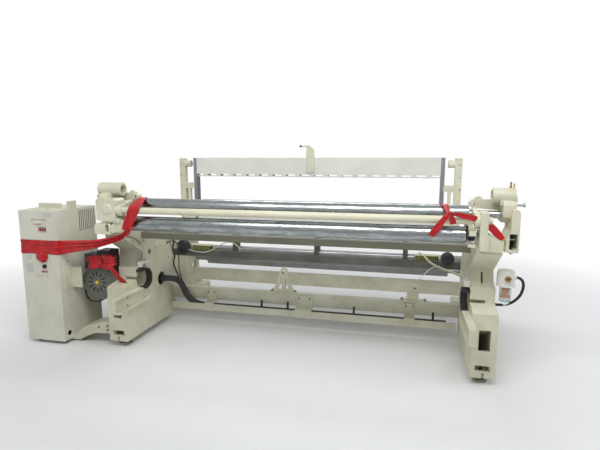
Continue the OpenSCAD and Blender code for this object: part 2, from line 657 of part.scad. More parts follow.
module cabinet_door() color(white) placed() difference() {
    union() {
        block([cab_x0 + 0.5, cab_y0, cab_z0], [cab_x1, cab_y0 + door_t, cab_z1]);
        block([cab_x0 + 30, cab_y0 + door_t - 1, cab_z0 + 30], [cab_x1 - 12, cab_y0 + door_t + 6, cab_z0 + 60]);
        block([cab_x0 + 122, cab_y0 - 6, 556], [cab_x0 + 236, cab_y0 + 1, 664]);
        for (z = hinge_zs) {
            bar_z(z, z + 30, hinge_x, hinge_y, knuckle_r);
            block([hinge_x, cab_y0 + 4, z], [cab_x0 + 1, cab_y0 + door_t, z + 30]);
        }
    }
    for (z = hinge_zs) bar_z(z - 1, z + 31, hinge_x, hinge_y, pin_r + fit);
    block([cab_x0 + 112, cab_y0 - 1, 948], [cab_x0 + 250, cab_y0 + 9, 996]);
    block([cab_x0 + 168, cab_y0 - 1, 892], [cab_x0 + 242, cab_y0 + 9, 936]);
    bar_y(cab_y0 - 7, cab_y0 + door_t + 1, stop_x, stop_z, 11 + fit);
    bar_y(cab_y0 - 7, cab_y0 + door_t + 1, knob_x, knob_z, 8 + fit);
    bar_y(cab_y0, cab_y0 + door_t + 1, switch_x, switch_z, 7 + fit);
    for (x = toggle_xs) block([x - 5.5, cab_y0, 901], [x + 5.5, cab_y0 + door_t + 1, 929]);
}
stop_x = cab_x1 - 135;
stop_z = 690;
knob_x = cab_x1 - 122;
knob_z = 632;
switch_x = cab_x0 + 180;
switch_z = 972;
toggle_xs = [cab_x0 + 184, cab_x0 + 205, cab_x0 + 226];
toggle_y = cab_y0 + door_t + 5;
toggle_z = 915;
module cabinet_feet() color(dark) placed()
    for (x = [cab_x0 + 60, cab_x1 - 50], y = [cab_y0 + 60, cab_y1 - 50]) bar_z(0, cab_foot, x, y, 22);
module main_switch() color(white) placed() {
    bar_y(cab_y0 - 4, cab_y0 + door_t + 10, switch_x, switch_z, 7);
    block([switch_x - 30, cab_y0 - 16, switch_z - 7], [switch_x + 30, cab_y0 - 3, switch_z + 7]);
}
// Three red toggles on one bar, which turn together
module breaker_toggles() color(red) placed() {
    bar_x(toggle_xs[0] - 5, toggle_xs[2] + 5, toggle_y, toggle_z, 4);
    for (x = toggle_xs) along_x(x - 5, x + 5)
        polygon([[toggle_y, toggle_z - 4], [toggle_y, toggle_z + 4], [cab_y0 - 6, toggle_z + 6], [cab_y0 - 6, toggle_z - 6]]);
}
module stop_button() color(red) placed() {
    bar_y(cab_y0 - 20, cab_y0 + door_t + 14, stop_x, stop_z, 11);
    translate([stop_x, cab_y0 - 20, stop_z]) rotate([90, 0, 0]) cylinder(h = 12, r1 = 20, r2 = 16);
}
module selector_knob() color(dark) placed() {
    bar_y(cab_y0 - 8, cab_y0 + door_t + 12, knob_x, knob_z, 8);
    bar_y(cab_y0 - 20, cab_y0 - 7.5, knob_x, knob_z, 15);
    block([knob_x - 4, cab_y0 - 26, knob_z - 15], [knob_x + 4, cab_y0 - 19, knob_z + 15]);
}

// Flat tray and upright tab on the cabinet's lid, and a cranked bracket on its side
module cabinet_brackets() color(cream) placed() {
    block([cab_x0 + 30, cab_y0 + 60, cab_z1], [cab_x0 + 240, cab_y0 + 180, cab_z1 + 6]);
    block([cab_x0 + 30, cab_y0 + 174, cab_z1], [cab_x0 + 240, cab_y0 + 180, cab_z1 + 40]);
    block([cab_x1 - 60, cab_y0 + 130, cab_z1], [cab_x1 - 2, cab_y0 + 200, cab_z1 + 5]);
    block([cab_x1 - 7, cab_y0 + 130, cab_z1], [cab_x1 - 2, cab_y0 + 230, cab_z1 + 62]);
    block([cab_x1, cab_y0 + 44, 440], [cab_x1 + 8, cab_y0 + 130, 605]);
    block([cab_x1, cab_y0 + 122, 440], [cab_x1 + 90, cab_y0 + 130, 605]);
    for (z = [476, 563]) translate([cab_x1 + 8, cab_y0 + 84, z]) rotate([0, 90, 0]) cylinder(h = 5, r = 8);
}
// Curved foot plate that ties the cabinet to the left arm
module base_arm() color(cream) placed()
    along_y(30, 190) polygon([[cab_x1 - 40, cab_foot - 14], [cab_x1 + 60, cab_foot - 14], [cab_x1 + 130, 52], [cab_x1 + 200, 84],
        [-x_out, 92], [-x_out, 180], [-x_out - 110, 172], [cab_x1 + 110, 130], [cab_x1 + 30, 64],
        [cab_x1 + 0.3, 50], [cab_x1 + 0.3, cab_foot - 0.3], [cab_x1 - 40, cab_foot - 0.3]]);

// MAIN MOTOR AND DRIVE

motor_x = -(x_out + 154);
motor_y0 = 90;
motor_y1 = motor_y0 + motor_l;
motor_z = 479;
cowl_t = 4;
module ring_y(y0, y1, x, z, r, bore) difference() {
    bar_y(y0, y1, x, z, r);
    bar_y(y0 - 1, y1 + 1, x, z, bore);
}
module main_motor() color([0.35, 0.37, 0.38]) placed() {
    bar_y(motor_y0 + 70, motor_y1, motor_x, motor_z, motor_r);
    bar_y(motor_y0 + 64, motor_y0 + 79.7, motor_x, motor_z, motor_r + 24 - cowl_t - 0.3);
    for (a = [0 : 15 : 345]) translate([motor_x, motor_y0 + 80, motor_z]) rotate([0, a, 0])
        translate([-2.5, 0, motor_r - 4]) cube([5, motor_l - 110, 18]);
    bar_y(motor_y1 - 16, motor_y1, motor_x, motor_z, motor_r + 18);
}
// Domed sheet cowl over the motor's fan, with a ring of air slots round its middle
module motor_cowl() color([0.36, 0.36, 0.34]) placed() difference() {
    translate([motor_x, motor_y0 + 76, motor_z]) rotate([90, 0, 0]) rotate_extrude()
        polygon([[0, 0], [motor_r + 24, 0], [motor_r + 24, 44], [motor_r + 14, 62], [motor_r - 26, 72], [0, 76]]);
    translate([motor_x, motor_y0 + 77, motor_z]) rotate([90, 0, 0]) rotate_extrude()
        polygon([[0, 0], [motor_r + 24 - cowl_t, 0], [motor_r + 24 - cowl_t, 43], [motor_r + 12, 58],
                 [motor_r - 27, 68], [0, 72]]);
    for (a = [0 : 30 : 330]) translate([motor_x, motor_y0 - 2, motor_z]) rotate([0, a, 0])
        translate([-5, 0, 45]) cube([10, 14, 40]);
}
module terminal_box() color([0.14, 0.16, 0.20]) placed() difference() {
    union() {
        block([motor_x - 165, motor_y0 + 80, motor_z + 84], [motor_x - 48, motor_y0 + 180, motor_z + 206]);
        block([motor_x - 49, motor_y0 + 90, motor_z + 120], [motor_x + 60, motor_y0 + 200, motor_z + 240]);
        block([motor_x - 60, motor_y0 + 96, motor_z + 205], [motor_x - 40, motor_y0 + 170, motor_z + 236]);
    }
    bar_y(motor_y0, motor_y1, motor_x, motor_z, motor_r + 14.3);
}
// Cast housing of the drive on the outside of the left frame, with a neck that carries the motor
module drive_housing() color(cream) placed() {
    along_x(cab_x1 + 60, -x_out) polygon([[820, 90], [1330, 90], [1380, 140], [1380, 640], [1240, 790], [820, 790],
                                          [790, 760], [790, 120]]);
    along_x(motor_x - 130, -x_out) soft_rect([motor_y1 + 14, motor_z - 130], [791, motor_z + 120], 20);
    bar_y(motor_y1, motor_y1 + 15, motor_x, motor_z, motor_r + 18);
}
// Cast gear case of the let-off, set between the step and the neck of the left frame
case_y = 150;
case_z = 690;
case_r = 138;
module gear_case() color([0.62, 0.62, 0.54]) placed()
    along_x(-x_out + 6, -x_in - 8) polygon([[26, 857], [27, 838], [172, 748], [162, 621], [162, 606], [244, 633],
                                            [268.5, 704.8]]);

// COMPRESSED AIR

filter_x = x_out + 52;
filter_y = 130;
filter_z = 640;
port_z = filter_z + 58;
module air_filter_head() color(cream) placed() difference() {
    union() {
        bar_z(filter_z + 12, filter_z + 100, filter_x, filter_y, 50);
        bar_z(filter_z, filter_z + 14, filter_x, filter_y, 58);
        block([x_out, filter_y - 24, filter_z + 24], [filter_x, filter_y + 24, filter_z + 84]);
        bar_y(filter_y - 62, filter_y, filter_x, port_z, 22);
        bar_x(filter_x, filter_x + 60, filter_y, port_z, 18);
    }
    bar_y(filter_y - 63, filter_y - 30, filter_x, port_z, inlet_r);
    bar_x(filter_x + 40, filter_x + 61, filter_y, port_z, hose_r + 0.3);
    bar_z(filter_z - 1, filter_z + 10, filter_x, filter_y, bowl_r + 0.3);
}
inlet_r = 12;
bowl_t = 4;
module filter_bowl() color([0.6, 0.62, 0.62]) placed() difference() {
    union() {
        bar_z(filter_z - bowl_h + 20, filter_z + 9.7, filter_x, filter_y, bowl_r);
        translate([filter_x, filter_y, filter_z - bowl_h]) cylinder(h = 20.5, r1 = bowl_r - 14, r2 = bowl_r);
        bar_z(filter_z - bowl_h - 12, filter_z - bowl_h + 1, filter_x, filter_y, 8);
    }
    bar_z(filter_z - bowl_h + 16, filter_z + 12, filter_x, filter_y, bowl_r - bowl_t);
}
module filter_element() color([0.8, 0.5, 0.2]) placed() {
    bar_z(filter_z - 68, filter_z - 10, filter_x, filter_y, 22);
    bar_z(filter_z - 10.5, filter_z + 9.7, filter_x, filter_y, 12);
    bar_z(filter_z - 78, filter_z - 67, filter_x, filter_y, 29);
}
hose_r = 9;
filter_hose_path = [[1493.5, 130, 698], [1520, 130, 697], [1546, 132, 684], [1560, 138, 654], [1560, 146, 612],
                    [1546, 156, 566], [1514, 168, 524], [1476, 178, 500], [1436, 184, 492], [1401.4, 186, 492]];
module filter_hose() color(dark) placed() swept_tube(smooth_path(filter_hose_path, 3), hose_r, 8, [0.1, 0.97, 0.2]);

// Cross rail with two rows of jet valves, each row under a cream bar
valve_y = 820;
valve_z = 620;
module valve_rail() color([0.30, 0.31, 0.30]) placed() difference() {
    block([-x_web, valve_y - 4, valve_z - 56], [x_web, valve_y + 36, valve_z]);
    block([-x_web + 30, valve_y + 2, valve_z - 50], [x_web - 30, valve_y + 37, valve_z - 6]);
}
module valve_bank(x0, n) {
    block([x0 - 12, valve_y + 14, valve_z + 44], [x0 + n * 16 + 12, valve_y + 34, valve_z + 56]);
    for (k = [0 : n - 1]) block([x0 + k * 16, valve_y, valve_z + 0.3], [x0 + k * 16 + 10, valve_y + 46, valve_z + 44.1]);
}
module valve_banks() color([0.62, 0.62, 0.30]) placed() {
    valve_bank(155 - x_in, 11);
    valve_bank(x_in - 345, 11);
}
// Turned pins that stand out of the outer sides of the two back-rest brackets
module stop_pins() color(steel) for (s = [-1, 1]) side(s) {
    bar_x(outer_x1 + 0.3, outer_x1 + 60, 150, 1160, 8);
    bar_x(outer_x1 + 59, x_in + pin_reach, 150, 1160, 13);
}

// RIBBONS

ribbon_t = 3;
ribbon_z0 = 740;
ribbon_z1 = 806;
// Length of ribbon across the door, with its knot, tucked into the door's two seams
module door_ribbon() color(red) placed() {
    block([cab_x0 + 0.5, cab_y0 - ribbon_t - 0.3, ribbon_z0], [cab_x1 + ribbon_t, cab_y0 - 0.3, ribbon_z1]);
    block([cab_x1 + 0.3, cab_y0 - 1, ribbon_z0], [cab_x1 + ribbon_t, cab_y0 + door_t, ribbon_z1]);
    along_y(cab_y0 - ribbon_t - 9, cab_y0 - ribbon_t) polygon([[cab_x0 + 112, ribbon_z0 + 6], [cab_x0 + 178, ribbon_z0 + 6],
        [cab_x0 + 160, ribbon_z0 - 44], [cab_x0 + 134, ribbon_z0 - 34]]);
}
// Side length from the cabinet to the left bracket, two lengths over the rollers' ends and a bow on the motor
module ribbons() color(red) placed() {
    block([cab_x1 + 0.3, cab_y0 + door_t + 1, ribbon_z0 + 8], [cab_x1 + ribbon_t, cab_y0 + 130, ribbon_z1 - 4]);
}

side_frame_left();
side_frame_right();
levelling_feet();
beam_rail_left();
beam_rail_right();
seat_liners();
beam_lock_left();
beam_lock_right();
rear_stay();
conduit_tray();
stay_brackets();
bearing_pillar_left();
bearing_pillar_right();
conduit();
conduit_clips();
back_rest_bracket_left();
back_rest_bracket_right();
easing_levers();
upper_roller();
lower_roller();
cross_beam();
heald_frame_1();
heald_frame_2();
heald_frame_3();
heald_frame_4();
frame_hook();
heald_guides();
rocking_shaft();
sley_beam();
reed();
front_stay();
breast_beam();
takeup_roller();
press_roller();
cloth_roller();
cabinet_body();
cabinet_door();
cabinet_feet();
main_switch();
breaker_toggles();
stop_button();
selector_knob();
cabinet_brackets();
base_arm();
main_motor();
motor_cowl();
terminal_box();
drive_housing();
gear_case();
air_filter_head();
filter_bowl();
filter_element();
filter_hose();
valve_rail();
valve_banks();
stop_pins();
door_ribbon();
ribbons();
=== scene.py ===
import math
import random
import bmesh
import bpy
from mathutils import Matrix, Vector


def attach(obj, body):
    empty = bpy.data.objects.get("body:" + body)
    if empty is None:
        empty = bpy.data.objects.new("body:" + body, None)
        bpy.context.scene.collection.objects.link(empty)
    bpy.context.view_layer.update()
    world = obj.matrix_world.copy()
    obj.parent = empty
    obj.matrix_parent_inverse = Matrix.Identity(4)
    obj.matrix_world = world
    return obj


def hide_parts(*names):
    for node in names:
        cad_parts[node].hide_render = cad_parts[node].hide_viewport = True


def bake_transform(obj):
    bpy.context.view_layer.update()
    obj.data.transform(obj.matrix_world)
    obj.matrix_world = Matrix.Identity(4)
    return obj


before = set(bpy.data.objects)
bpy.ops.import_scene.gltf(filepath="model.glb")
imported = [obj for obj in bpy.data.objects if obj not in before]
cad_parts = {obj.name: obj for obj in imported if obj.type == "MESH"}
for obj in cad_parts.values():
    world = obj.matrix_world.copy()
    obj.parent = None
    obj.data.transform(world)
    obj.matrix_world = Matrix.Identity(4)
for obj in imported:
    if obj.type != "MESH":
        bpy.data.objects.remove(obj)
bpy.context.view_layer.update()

# Places count from the middle between the arms and from the arm fronts, and are moved into the loom's
# frame, whose origin is the middle of its own box on the floor. In metres:
ARM_MIDDLE = 0.281
ARM_FRONT = -0.711
# In millimetres: the arms' inner and outer walls, and two shafts across the loom, as (y, z)
INNER_WALL, OUTER_WALL = 1245, 1401
CROSS_TUBE, LOWER_ROLLER = (0, 1074), (50, 972)


def at(x, y, z):
    return (x + ARM_MIDDLE, y + ARM_FRONT, z)


def mm(x, y, z):
    return at(x / 1000.0, y / 1000.0, z / 1000.0)


def lin(r, g, b):
    """An 8-bit screen colour as a linear one"""
    def one(c):
        c = c / 255.0
        return c / 12.92 if c <= 0.04045 else ((c + 0.055) / 1.055) ** 2.4
    return (one(r), one(g), one(b), 1.0)


# NODES

def feed(tree, made, sockets):
    """Gives inputs of a node a value, or the output that feeds them"""
    for key, value in sockets.items():
        if isinstance(value, bpy.types.NodeSocket):
            tree.links.new(value, made.inputs[key])
        else:
            made.inputs[key].default_value = value
    return made


def node(tree, kind, sockets=(), **settings):
    made = tree.nodes.new(kind)
    for key, value in settings.items():
        setattr(made, key, value)
    return feed(tree, made, dict(sockets))


def math_node(tree, op, a, b=None, clamp=False):
    sockets = {0: a} if b is None else {0: a, 1: b}
    return node(tree, "ShaderNodeMath", sockets, operation=op, use_clamp=clamp).outputs[0]


def times(tree, a, b, clamp=False):
    return math_node(tree, "MULTIPLY", a, b, clamp)


def plus(tree, a, b):
    return math_node(tree, "ADD", a, b)


def noise(tree, vector, scale, detail=3.0, rough=0.5, distortion=0.0):
    return node(tree, "ShaderNodeTexNoise", {"Vector": vector, "Scale": scale, "Detail": detail,
                    "Roughness": rough, "Distortion": distortion}).outputs["Fac"]


def ramp(tree, value, lo, hi):
    return node(tree, "ShaderNodeMapRange", {"Value": value, "From Min": lo, "From Max": hi},
                    clamp=True).outputs["Result"]


def mix(tree, fac, a, b):
    return node(tree, "ShaderNodeMix", {"Factor": fac, 6: a, 7: b}, data_type="RGBA").outputs[2]


# CAMERA AND LIGHTS

scene = bpy.context.scene
scene.view_settings.view_transform = "Standard"
cam_data = bpy.data.cameras.new("eye_level_camera")
cam_data.lens = 27.0
cam_data.sensor_width = 36.0
cam_data.clip_end = 60.0
cam = bpy.data.objects.new("eye_level_camera", cam_data)
cam.location = at(0.804, -2.918, 1.45)
cam.rotation_euler = (math.radians(81.63), 0.0, math.radians(13.2))
scene.collection.objects.link(cam)
scene.camera = cam


def lamp(name, place, aim, size, watts):
    data = bpy.data.lights.new(name, "AREA")
    data.shape = "RECTANGLE"
    data.size, data.size_y = size
    data.energy = watts
    obj = bpy.data.objects.new(name, data)
    obj.location = place
    obj.rotation_euler = (Vector(aim) - Vector(place)).to_track_quat("-Z", "Y").to_euler()
    scene.collection.objects.link(obj)


lamp("ceiling_strip_front", at(0.4, -1.82, 3.6), at(0.0, 0.78, 0.7), (3.8, 1.2), 92)
lamp("ceiling_strip_back", at(-0.4, 3.38, 3.6), at(0.0, 0.98, 0.7), (3.8, 1.2), 62)
lamp("side_fill_right", at(4.2, 0.18, 2.2), at(0.3, 0.78, 0.6), (2.0, 2.0), 27)
lamp("side_fill_left", at(-4.6, -0.62, 2.2), at(-0.6, 0.78, 0.6), (2.0, 2.0), 22)

# A grey room for light, white for the camera and through the clear bowl, partly white in reflections
GLOSSY_WHITE = 0.35
world = bpy.data.worlds.new("pale_room")
scene.world = world
world.use_nodes = True
wt = world.node_tree
wt.nodes.clear()
ray = node(wt, "ShaderNodeLightPath").outputs
shown = math_node(wt, "MAXIMUM", math_node(wt, "MAXIMUM", ray["Is Camera Ray"], ray["Is Transmission Ray"]),
                  times(wt, ray["Is Glossy Ray"], GLOSSY_WHITE))
w_room = node(wt, "ShaderNodeBackground", {"Color": (0.82, 0.84, 0.86, 1.0), "Strength": 0.42})
w_white = node(wt, "ShaderNodeBackground", {"Color": (1.0, 1.0, 1.0, 1.0), "Strength": 1.0})
w_mix = node(wt, "ShaderNodeMixShader", {"Fac": shown, 1: w_room.outputs[0], 2: w_white.outputs[0]})
node(wt, "ShaderNodeOutputWorld", {"Surface": w_mix.outputs[0]})


# SHADER GROUPS

def group(name, inputs, output):
    """A shader group with one output; also its inputs and outputs as seen from inside"""
    tree = bpy.data.node_groups.new(name, "ShaderNodeTree")
    for label, value in {"Vector": (0, 0, 0), **inputs}.items():
        kind = "NodeSocketVector" if isinstance(value, tuple) else "NodeSocketFloat"
        tree.interface.new_socket(name=label, in_out="INPUT", socket_type=kind).default_value = value
    tree.interface.new_socket(name=output, in_out="OUTPUT", socket_type="NodeSocketFloat")
    return tree, node(tree, "NodeGroupInput").outputs, node(tree, "NodeGroupOutput").inputs


# Cast or sprayed surface: coarse lumps and fine grain, as a height
surface_grain, gi, go = group("surface_grain", {"Lump Scale": 14.0, "Grain Scale": 380.0}, "Height")
lumps = noise(surface_grain, gi["Vector"], gi["Lump Scale"], 2.0, 0.45)
grain = noise(surface_grain, gi["Vector"], gi["Grain Scale"], 2.0, 0.6)
height = plus(surface_grain, times(surface_grain, lumps, 1.6), times(surface_grain, grain, 0.22))
surface_grain.links.new(height, go["Height"])

# Dust in patches, and darker towards the floor, in one mask
dust_and_floor_darkening, gi, go = group("dust_and_floor_darkening", {"Amount": 0.5}, "Mask")
low = ramp(dust_and_floor_darkening, node(dust_and_floor_darkening, "ShaderNodeSeparateXYZ", {0: gi["Vector"]}).outputs["Z"], 0.75, 0.02)
patch = ramp(dust_and_floor_darkening, noise(dust_and_floor_darkening, gi["Vector"], 5.5, 4.0, 0.62), 0.40, 0.72)
both = plus(dust_and_floor_darkening, times(dust_and_floor_darkening, patch, 0.55), times(dust_and_floor_darkening, low, 0.45))
dust_and_floor_darkening.links.new(times(dust_and_floor_darkening, both, gi["Amount"], True), go["Mask"])

# Small chips and scuffs of paint
paint_chips, gi, go = group("paint_chips", {"Scale": 26.0}, "Mask")
coarse = ramp(paint_chips, noise(paint_chips, gi["Vector"], gi["Scale"], 5.0, 0.7), 0.71, 0.74)
spread = ramp(paint_chips, noise(paint_chips, gi["Vector"], 2.3, 2.0), 0.50, 0.66)
paint_chips.links.new(times(paint_chips, coarse, spread, True), go["Mask"])

# Lines left by turning or grinding: noise drawn out along one direction
tool_lines, gi, go = group("tool_lines", {"Stretch": (1, 1, 1)}, "Value")
drawn = node(tool_lines, "ShaderNodeVectorMath", {0: gi["Vector"], 1: gi["Stretch"]}, operation="MULTIPLY")
tool_lines.links.new(noise(tool_lines, drawn.outputs[0], 1.0, 3.0, 0.6), go["Value"])


def place_group(tree, which, vector, **values):
    """The output of a group placed in a material, with its inputs given by name"""
    sockets = {key.replace("_", " "): value for key, value in values.items()}
    return node(tree, "ShaderNodeGroup", {"Vector": vector, **sockets}, node_tree=which).outputs[0]


# MATERIALS

# The first two colours are for dust patches and also for the darkening towards the floor
DUST_AND_FLOOR_DARKENING, DARK_DUST_AND_FLOOR_DARKENING, CHIP, FINGER_MARK = lin(150, 146, 128), lin(150, 146, 134), lin(104, 96, 80), lin(112, 104, 88)
# In metres: between which distances from the middle a slat turns into its stay, and the floor turns white
SLAT_END, FLOOR_FADE = (1.0775, 1.0785), (1.9, 4.6)


def fresh_material(name):
    mat = bpy.data.materials.new(name)
    mat.use_nodes = True
    tree = mat.node_tree
    tree.nodes.clear()
    bsdf = node(tree, "ShaderNodeBsdfPrincipled")
    node(tree, "ShaderNodeOutputMaterial", {"Surface": bsdf.outputs["BSDF"]})
    return mat, tree, bsdf, node(tree, "ShaderNodeTexCoord").outputs["Object"]


def bump(tree, bsdf, height, strength, distance):
    made = node(tree, "ShaderNodeBump", {"Height": height, "Strength": strength, "Distance": distance})
    tree.links.new(made.outputs["Normal"], bsdf.inputs["Normal"])


def enamel(name, colour, shade, rough, lump, grain, depth, dust_and_low_amount=0.5):
    """Painted metal: two close tones, dust patches and darker towards the floor, chips and a cast or sprayed grain"""
    mat, tree, bsdf, where = fresh_material(name)
    tone = ramp(tree, noise(tree, where, 3.1, 3.0), 0.35, 0.68)
    dust_and_low_mask = place_group(tree, dust_and_floor_darkening, where, Amount=dust_and_low_amount)
    base = mix(tree, tone, lin(*colour), lin(*shade))
    base = mix(tree, dust_and_low_mask, base, DUST_AND_FLOOR_DARKENING)
    base = mix(tree, place_group(tree, paint_chips, where), base, CHIP)
    rough_here = plus(tree, times(tree, dust_and_low_mask, 0.25), plus(tree, times(tree, tone, 0.08), rough))
    feed(tree, bsdf, {"Base Color": base, "Roughness": rough_here})
    bump(tree, bsdf, place_group(tree, surface_grain, where, Lump_Scale=lump, Grain_Scale=grain), 0.35, depth)
    return mat


def bare_metal(name, colour, shade, stretch, rough, metal=1.0, line=0.14, spots=0.25):
    """Turned, ground or rolled metal with tool lines, finger marks and a little dulling"""
    mat, tree, bsdf, where = fresh_material(name)
    lines = place_group(tree, tool_lines, where, Stretch=stretch)
    marks = ramp(tree, noise(tree, where, 9.0, 4.0, 0.65), 0.42, 0.70)
    silver = mix(tree, lines, lin(*colour), lin(*shade))
    base = mix(tree, times(tree, marks, spots), silver, FINGER_MARK)
    rough_here = plus(tree, times(tree, lines, line), plus(tree, times(tree, marks, 0.16), rough))
    feed(tree, bsdf, {"Base Color": base, "Metallic": metal, "Roughness": rough_here})
    bump(tree, bsdf, lines, 0.3, 0.0002)
    return mat


def moulded(name, colour, shade, rough, scale=420.0, depth=0.0003, dust_and_low_amount=0.3):
    """Plastic or rubber: fine grain, slight tone change, dust patches and darker towards the floor"""
    mat, tree, bsdf, where = fresh_material(name)
    tone = ramp(tree, noise(tree, where, 7.0, 3.0), 0.35, 0.7)
    dust_and_low_mask = times(tree, place_group(tree, dust_and_floor_darkening, where, Amount=dust_and_low_amount), 0.5)
    base = mix(tree, dust_and_low_mask, mix(tree, tone, lin(*colour), lin(*shade)), DARK_DUST_AND_FLOOR_DARKENING)
    feed(tree, bsdf, {"Base Color": base, "Roughness": plus(tree, times(tree, tone, 0.12), rough)})
    bump(tree, bsdf, place_group(tree, surface_grain, where, Lump_Scale=30.0, Grain_Scale=scale), 0.3, depth)
    return mat


CREAM_SHADE = (214, 211, 186)
cream_casting = enamel("cream_casting", (226, 224, 201), CREAM_SHADE, 0.33, 11, 300, 0.0016)
cream_sheet = enamel("cream_sheet_steel", (224, 223, 203), CREAM_SHADE, 0.30, 5, 520, 0.0005)
cream_tube = enamel("cream_tube", (229, 226, 200), (219, 216, 190), 0.28, 8, 500, 0.0004, 0.25)
cabinet_white = enamel("cabinet_powder_coat", (224, 222, 208), (217, 215, 199), 0.42, 4, 900, 0.0003, 0.35)
lock_white = enamel("lock_white", (228, 228, 220), (214, 213, 202), 0.35, 20, 500, 0.0006, 0.25)
motor_grey = enamel("motor_grey", (92, 94, 88), (78, 80, 76), 0.40, 18, 420, 0.0010)
# The gear case is cream paint: this darker copy of cream is painted shade
gear_case_painted_shade = enamel("gear_case_cream_painted_shade", (176, 176, 156), (160, 160, 140), 0.38, 12, 380, 0.0012, 0.4)
# The cross beam is cream paint: this darker, olive copy of cream is painted shade
cross_beam_painted_shade = enamel("cross_beam_cream_painted_shade", (128, 128, 108), (112, 113, 95), 0.36, 6, 500, 0.0004)
rail_grey = enamel("valve_rail_grey", (78, 80, 76), (64, 66, 62), 0.42, 9, 420, 0.0006, 0.4)
sley_iron = bare_metal("sley_iron", (120, 122, 116), (92, 94, 90), (6, 60, 60), 0.42, 0.85, 0.2, 0.35)
ground_steel = bare_metal("ground_steel", (198, 200, 202), (168, 170, 172), (8, 220, 220), 0.24)
bolt_steel = bare_metal("bolt_steel", (176, 176, 172), (140, 140, 134), (160, 160, 160), 0.34, 1, 0.1, 0.5)
brass = bare_metal("brass", (196, 158, 84), (160, 122, 58), (120, 120, 120), 0.3)
rubber_black = moulded("rubber_black", (30, 30, 32), (40, 40, 42), 0.62, 260, 0.0004)
plastic_black = moulded("plastic_black", (24, 24, 27), (34, 34, 37), 0.42)
box_blue_black = moulded("terminal_box_black", (34, 39, 48), (44, 48, 56), 0.5, 380, 0.0004, 0.45)
plastic_white = moulded("plastic_white", (232, 231, 226), (222, 221, 214), 0.32)
plastic_red = moulded("plastic_red", (190, 26, 32), (166, 20, 28), 0.30)
yellow_plastic = moulded("yellow_plastic", (226, 204, 40), (206, 184, 30), 0.35)
valve_plastic = moulded("valve_yellow_green", (168, 166, 92), (142, 142, 76), 0.42)
element_orange = moulded("element_orange", (226, 148, 58), (208, 128, 44), 0.6, 200, 0.0006)
cable_cream = moulded("cable_cream", (206, 208, 184), (190, 192, 166), 0.4)
label_blank = moulded("blank_label", (206, 208, 206), (196, 198, 196), 0.5, 600, 0.0001, 0.5)
grip_cover = moulded("grip_cover", (92, 94, 88), (76, 78, 74), 0.8, 700, 0.0012, 0.2)


def chrome_with_film():
    """Chromed roller still in its clinging film: fine creases as bumps and rougher streaks, with darker streaks in the
    colour as painted reflection
    """
    mat, tree, bsdf, where = fresh_material("chrome_roller_in_film")
    along = node(tree, "ShaderNodeVectorMath", {0: where, 1: (7.0, 46.0, 46.0)}, operation="MULTIPLY")
    crease = noise(tree, along.outputs[0], 1.0, 5.0, 0.62, 0.6)
    sharp = ramp(tree, crease, 0.38, 0.70)
    # The darker colour along the creases is painted reflection of dark surroundings; the creases' bumps and roughness
    # are the film's own
    feed(tree, bsdf, {"Base Color": mix(tree, sharp, lin(184, 189, 190), lin(128, 134, 135)),
                      "Metallic": 1.0, "Roughness": plus(tree, times(tree, sharp, 0.22), 0.16)})
    bump(tree, bsdf, crease, 0.55, 0.0035)
    return mat


def heald_finish():
    """White coated slats that end in bare aluminium side stays"""
    mat, tree, bsdf, where = fresh_material("heald_frame_finish")
    x = node(tree, "ShaderNodeSeparateXYZ", {0: where}).outputs["X"]
    from_middle = math_node(tree, "ABSOLUTE", math_node(tree, "SUBTRACT", x, ARM_MIDDLE))
    bare = ramp(tree, from_middle, *SLAT_END)
    lines = place_group(tree, tool_lines, where, Stretch=(240.0, 240.0, 4.0))
    tone = ramp(tree, noise(tree, where, 3.1, 3.0), 0.35, 0.68)
    white = mix(tree, tone, lin(230, 230, 222), lin(222, 222, 212))
    white = mix(tree, place_group(tree, dust_and_floor_darkening, where, Amount=0.18), white, DUST_AND_FLOOR_DARKENING)
    silver = mix(tree, lines, lin(184, 190, 196), lin(150, 156, 164))
    feed(tree, bsdf, {"Base Color": mix(tree, bare, white, silver), "Metallic": bare,
                      "Roughness": plus(tree, times(tree, lines, 0.10), 0.32)})
    bump(tree, bsdf, place_group(tree, surface_grain, where, Lump_Scale=6.0, Grain_Scale=700.0), 0.3, 0.0003)
    return mat


def clear_plastic():
    mat, tree, bsdf, where = fresh_material("clear_bowl")
    haze = ramp(tree, noise(tree, where, 40.0, 3.0), 0.4, 0.8)
    feed(tree, bsdf, {"Base Color": mix(tree, haze, lin(232, 238, 238), lin(214, 222, 222)),
                      "Roughness": plus(tree, times(tree, haze, 0.1), 0.06), "Transmission Weight": 0.9, "IOR": 1.18})
    return mat


def ribbon_cloth():
    """Bright satin ribbon: fine ribs across its length, read from the strip's own UV map"""
    mat, tree, bsdf, where = fresh_material("red_satin")
    uv = node(tree, "ShaderNodeUVMap", uv_map="strip").outputs["UV"]
    rib = node(tree, "ShaderNodeTexWave", {"Vector": uv, "Scale": 240.0, "Distortion": 0.6},
                   wave_type="BANDS", bands_direction="Y")
    tone = ramp(tree, noise(tree, where, 22.0, 3.0), 0.3, 0.7)
    feed(tree, bsdf, {"Base Color": mix(tree, tone, lin(205, 17, 28), lin(160, 8, 18)),
                      "Roughness": plus(tree, times(tree, tone, 0.1), 0.42), "Sheen Weight": 0.12,
                      "Sheen Roughness": 0.4})
    bump(tree, bsdf, rib.outputs["Fac"], 0.25, 0.0004)
    return mat


chrome_film, slat_white, clear_bowl, ribbon_red = chrome_with_film(), heald_finish(), clear_plastic(), ribbon_cloth()


def mesh_object(name, verts, faces, finish=None, smooth=False):
    data = bpy.data.meshes.new(name)
    data.from_pydata([tuple(v) for v in verts], [], faces)
    obj = bpy.data.objects.new(name, data)
    scene.collection.objects.link(obj)
    if finish:
        data.materials.append(finish)
    if smooth:
        data.shade_smooth()
    return obj


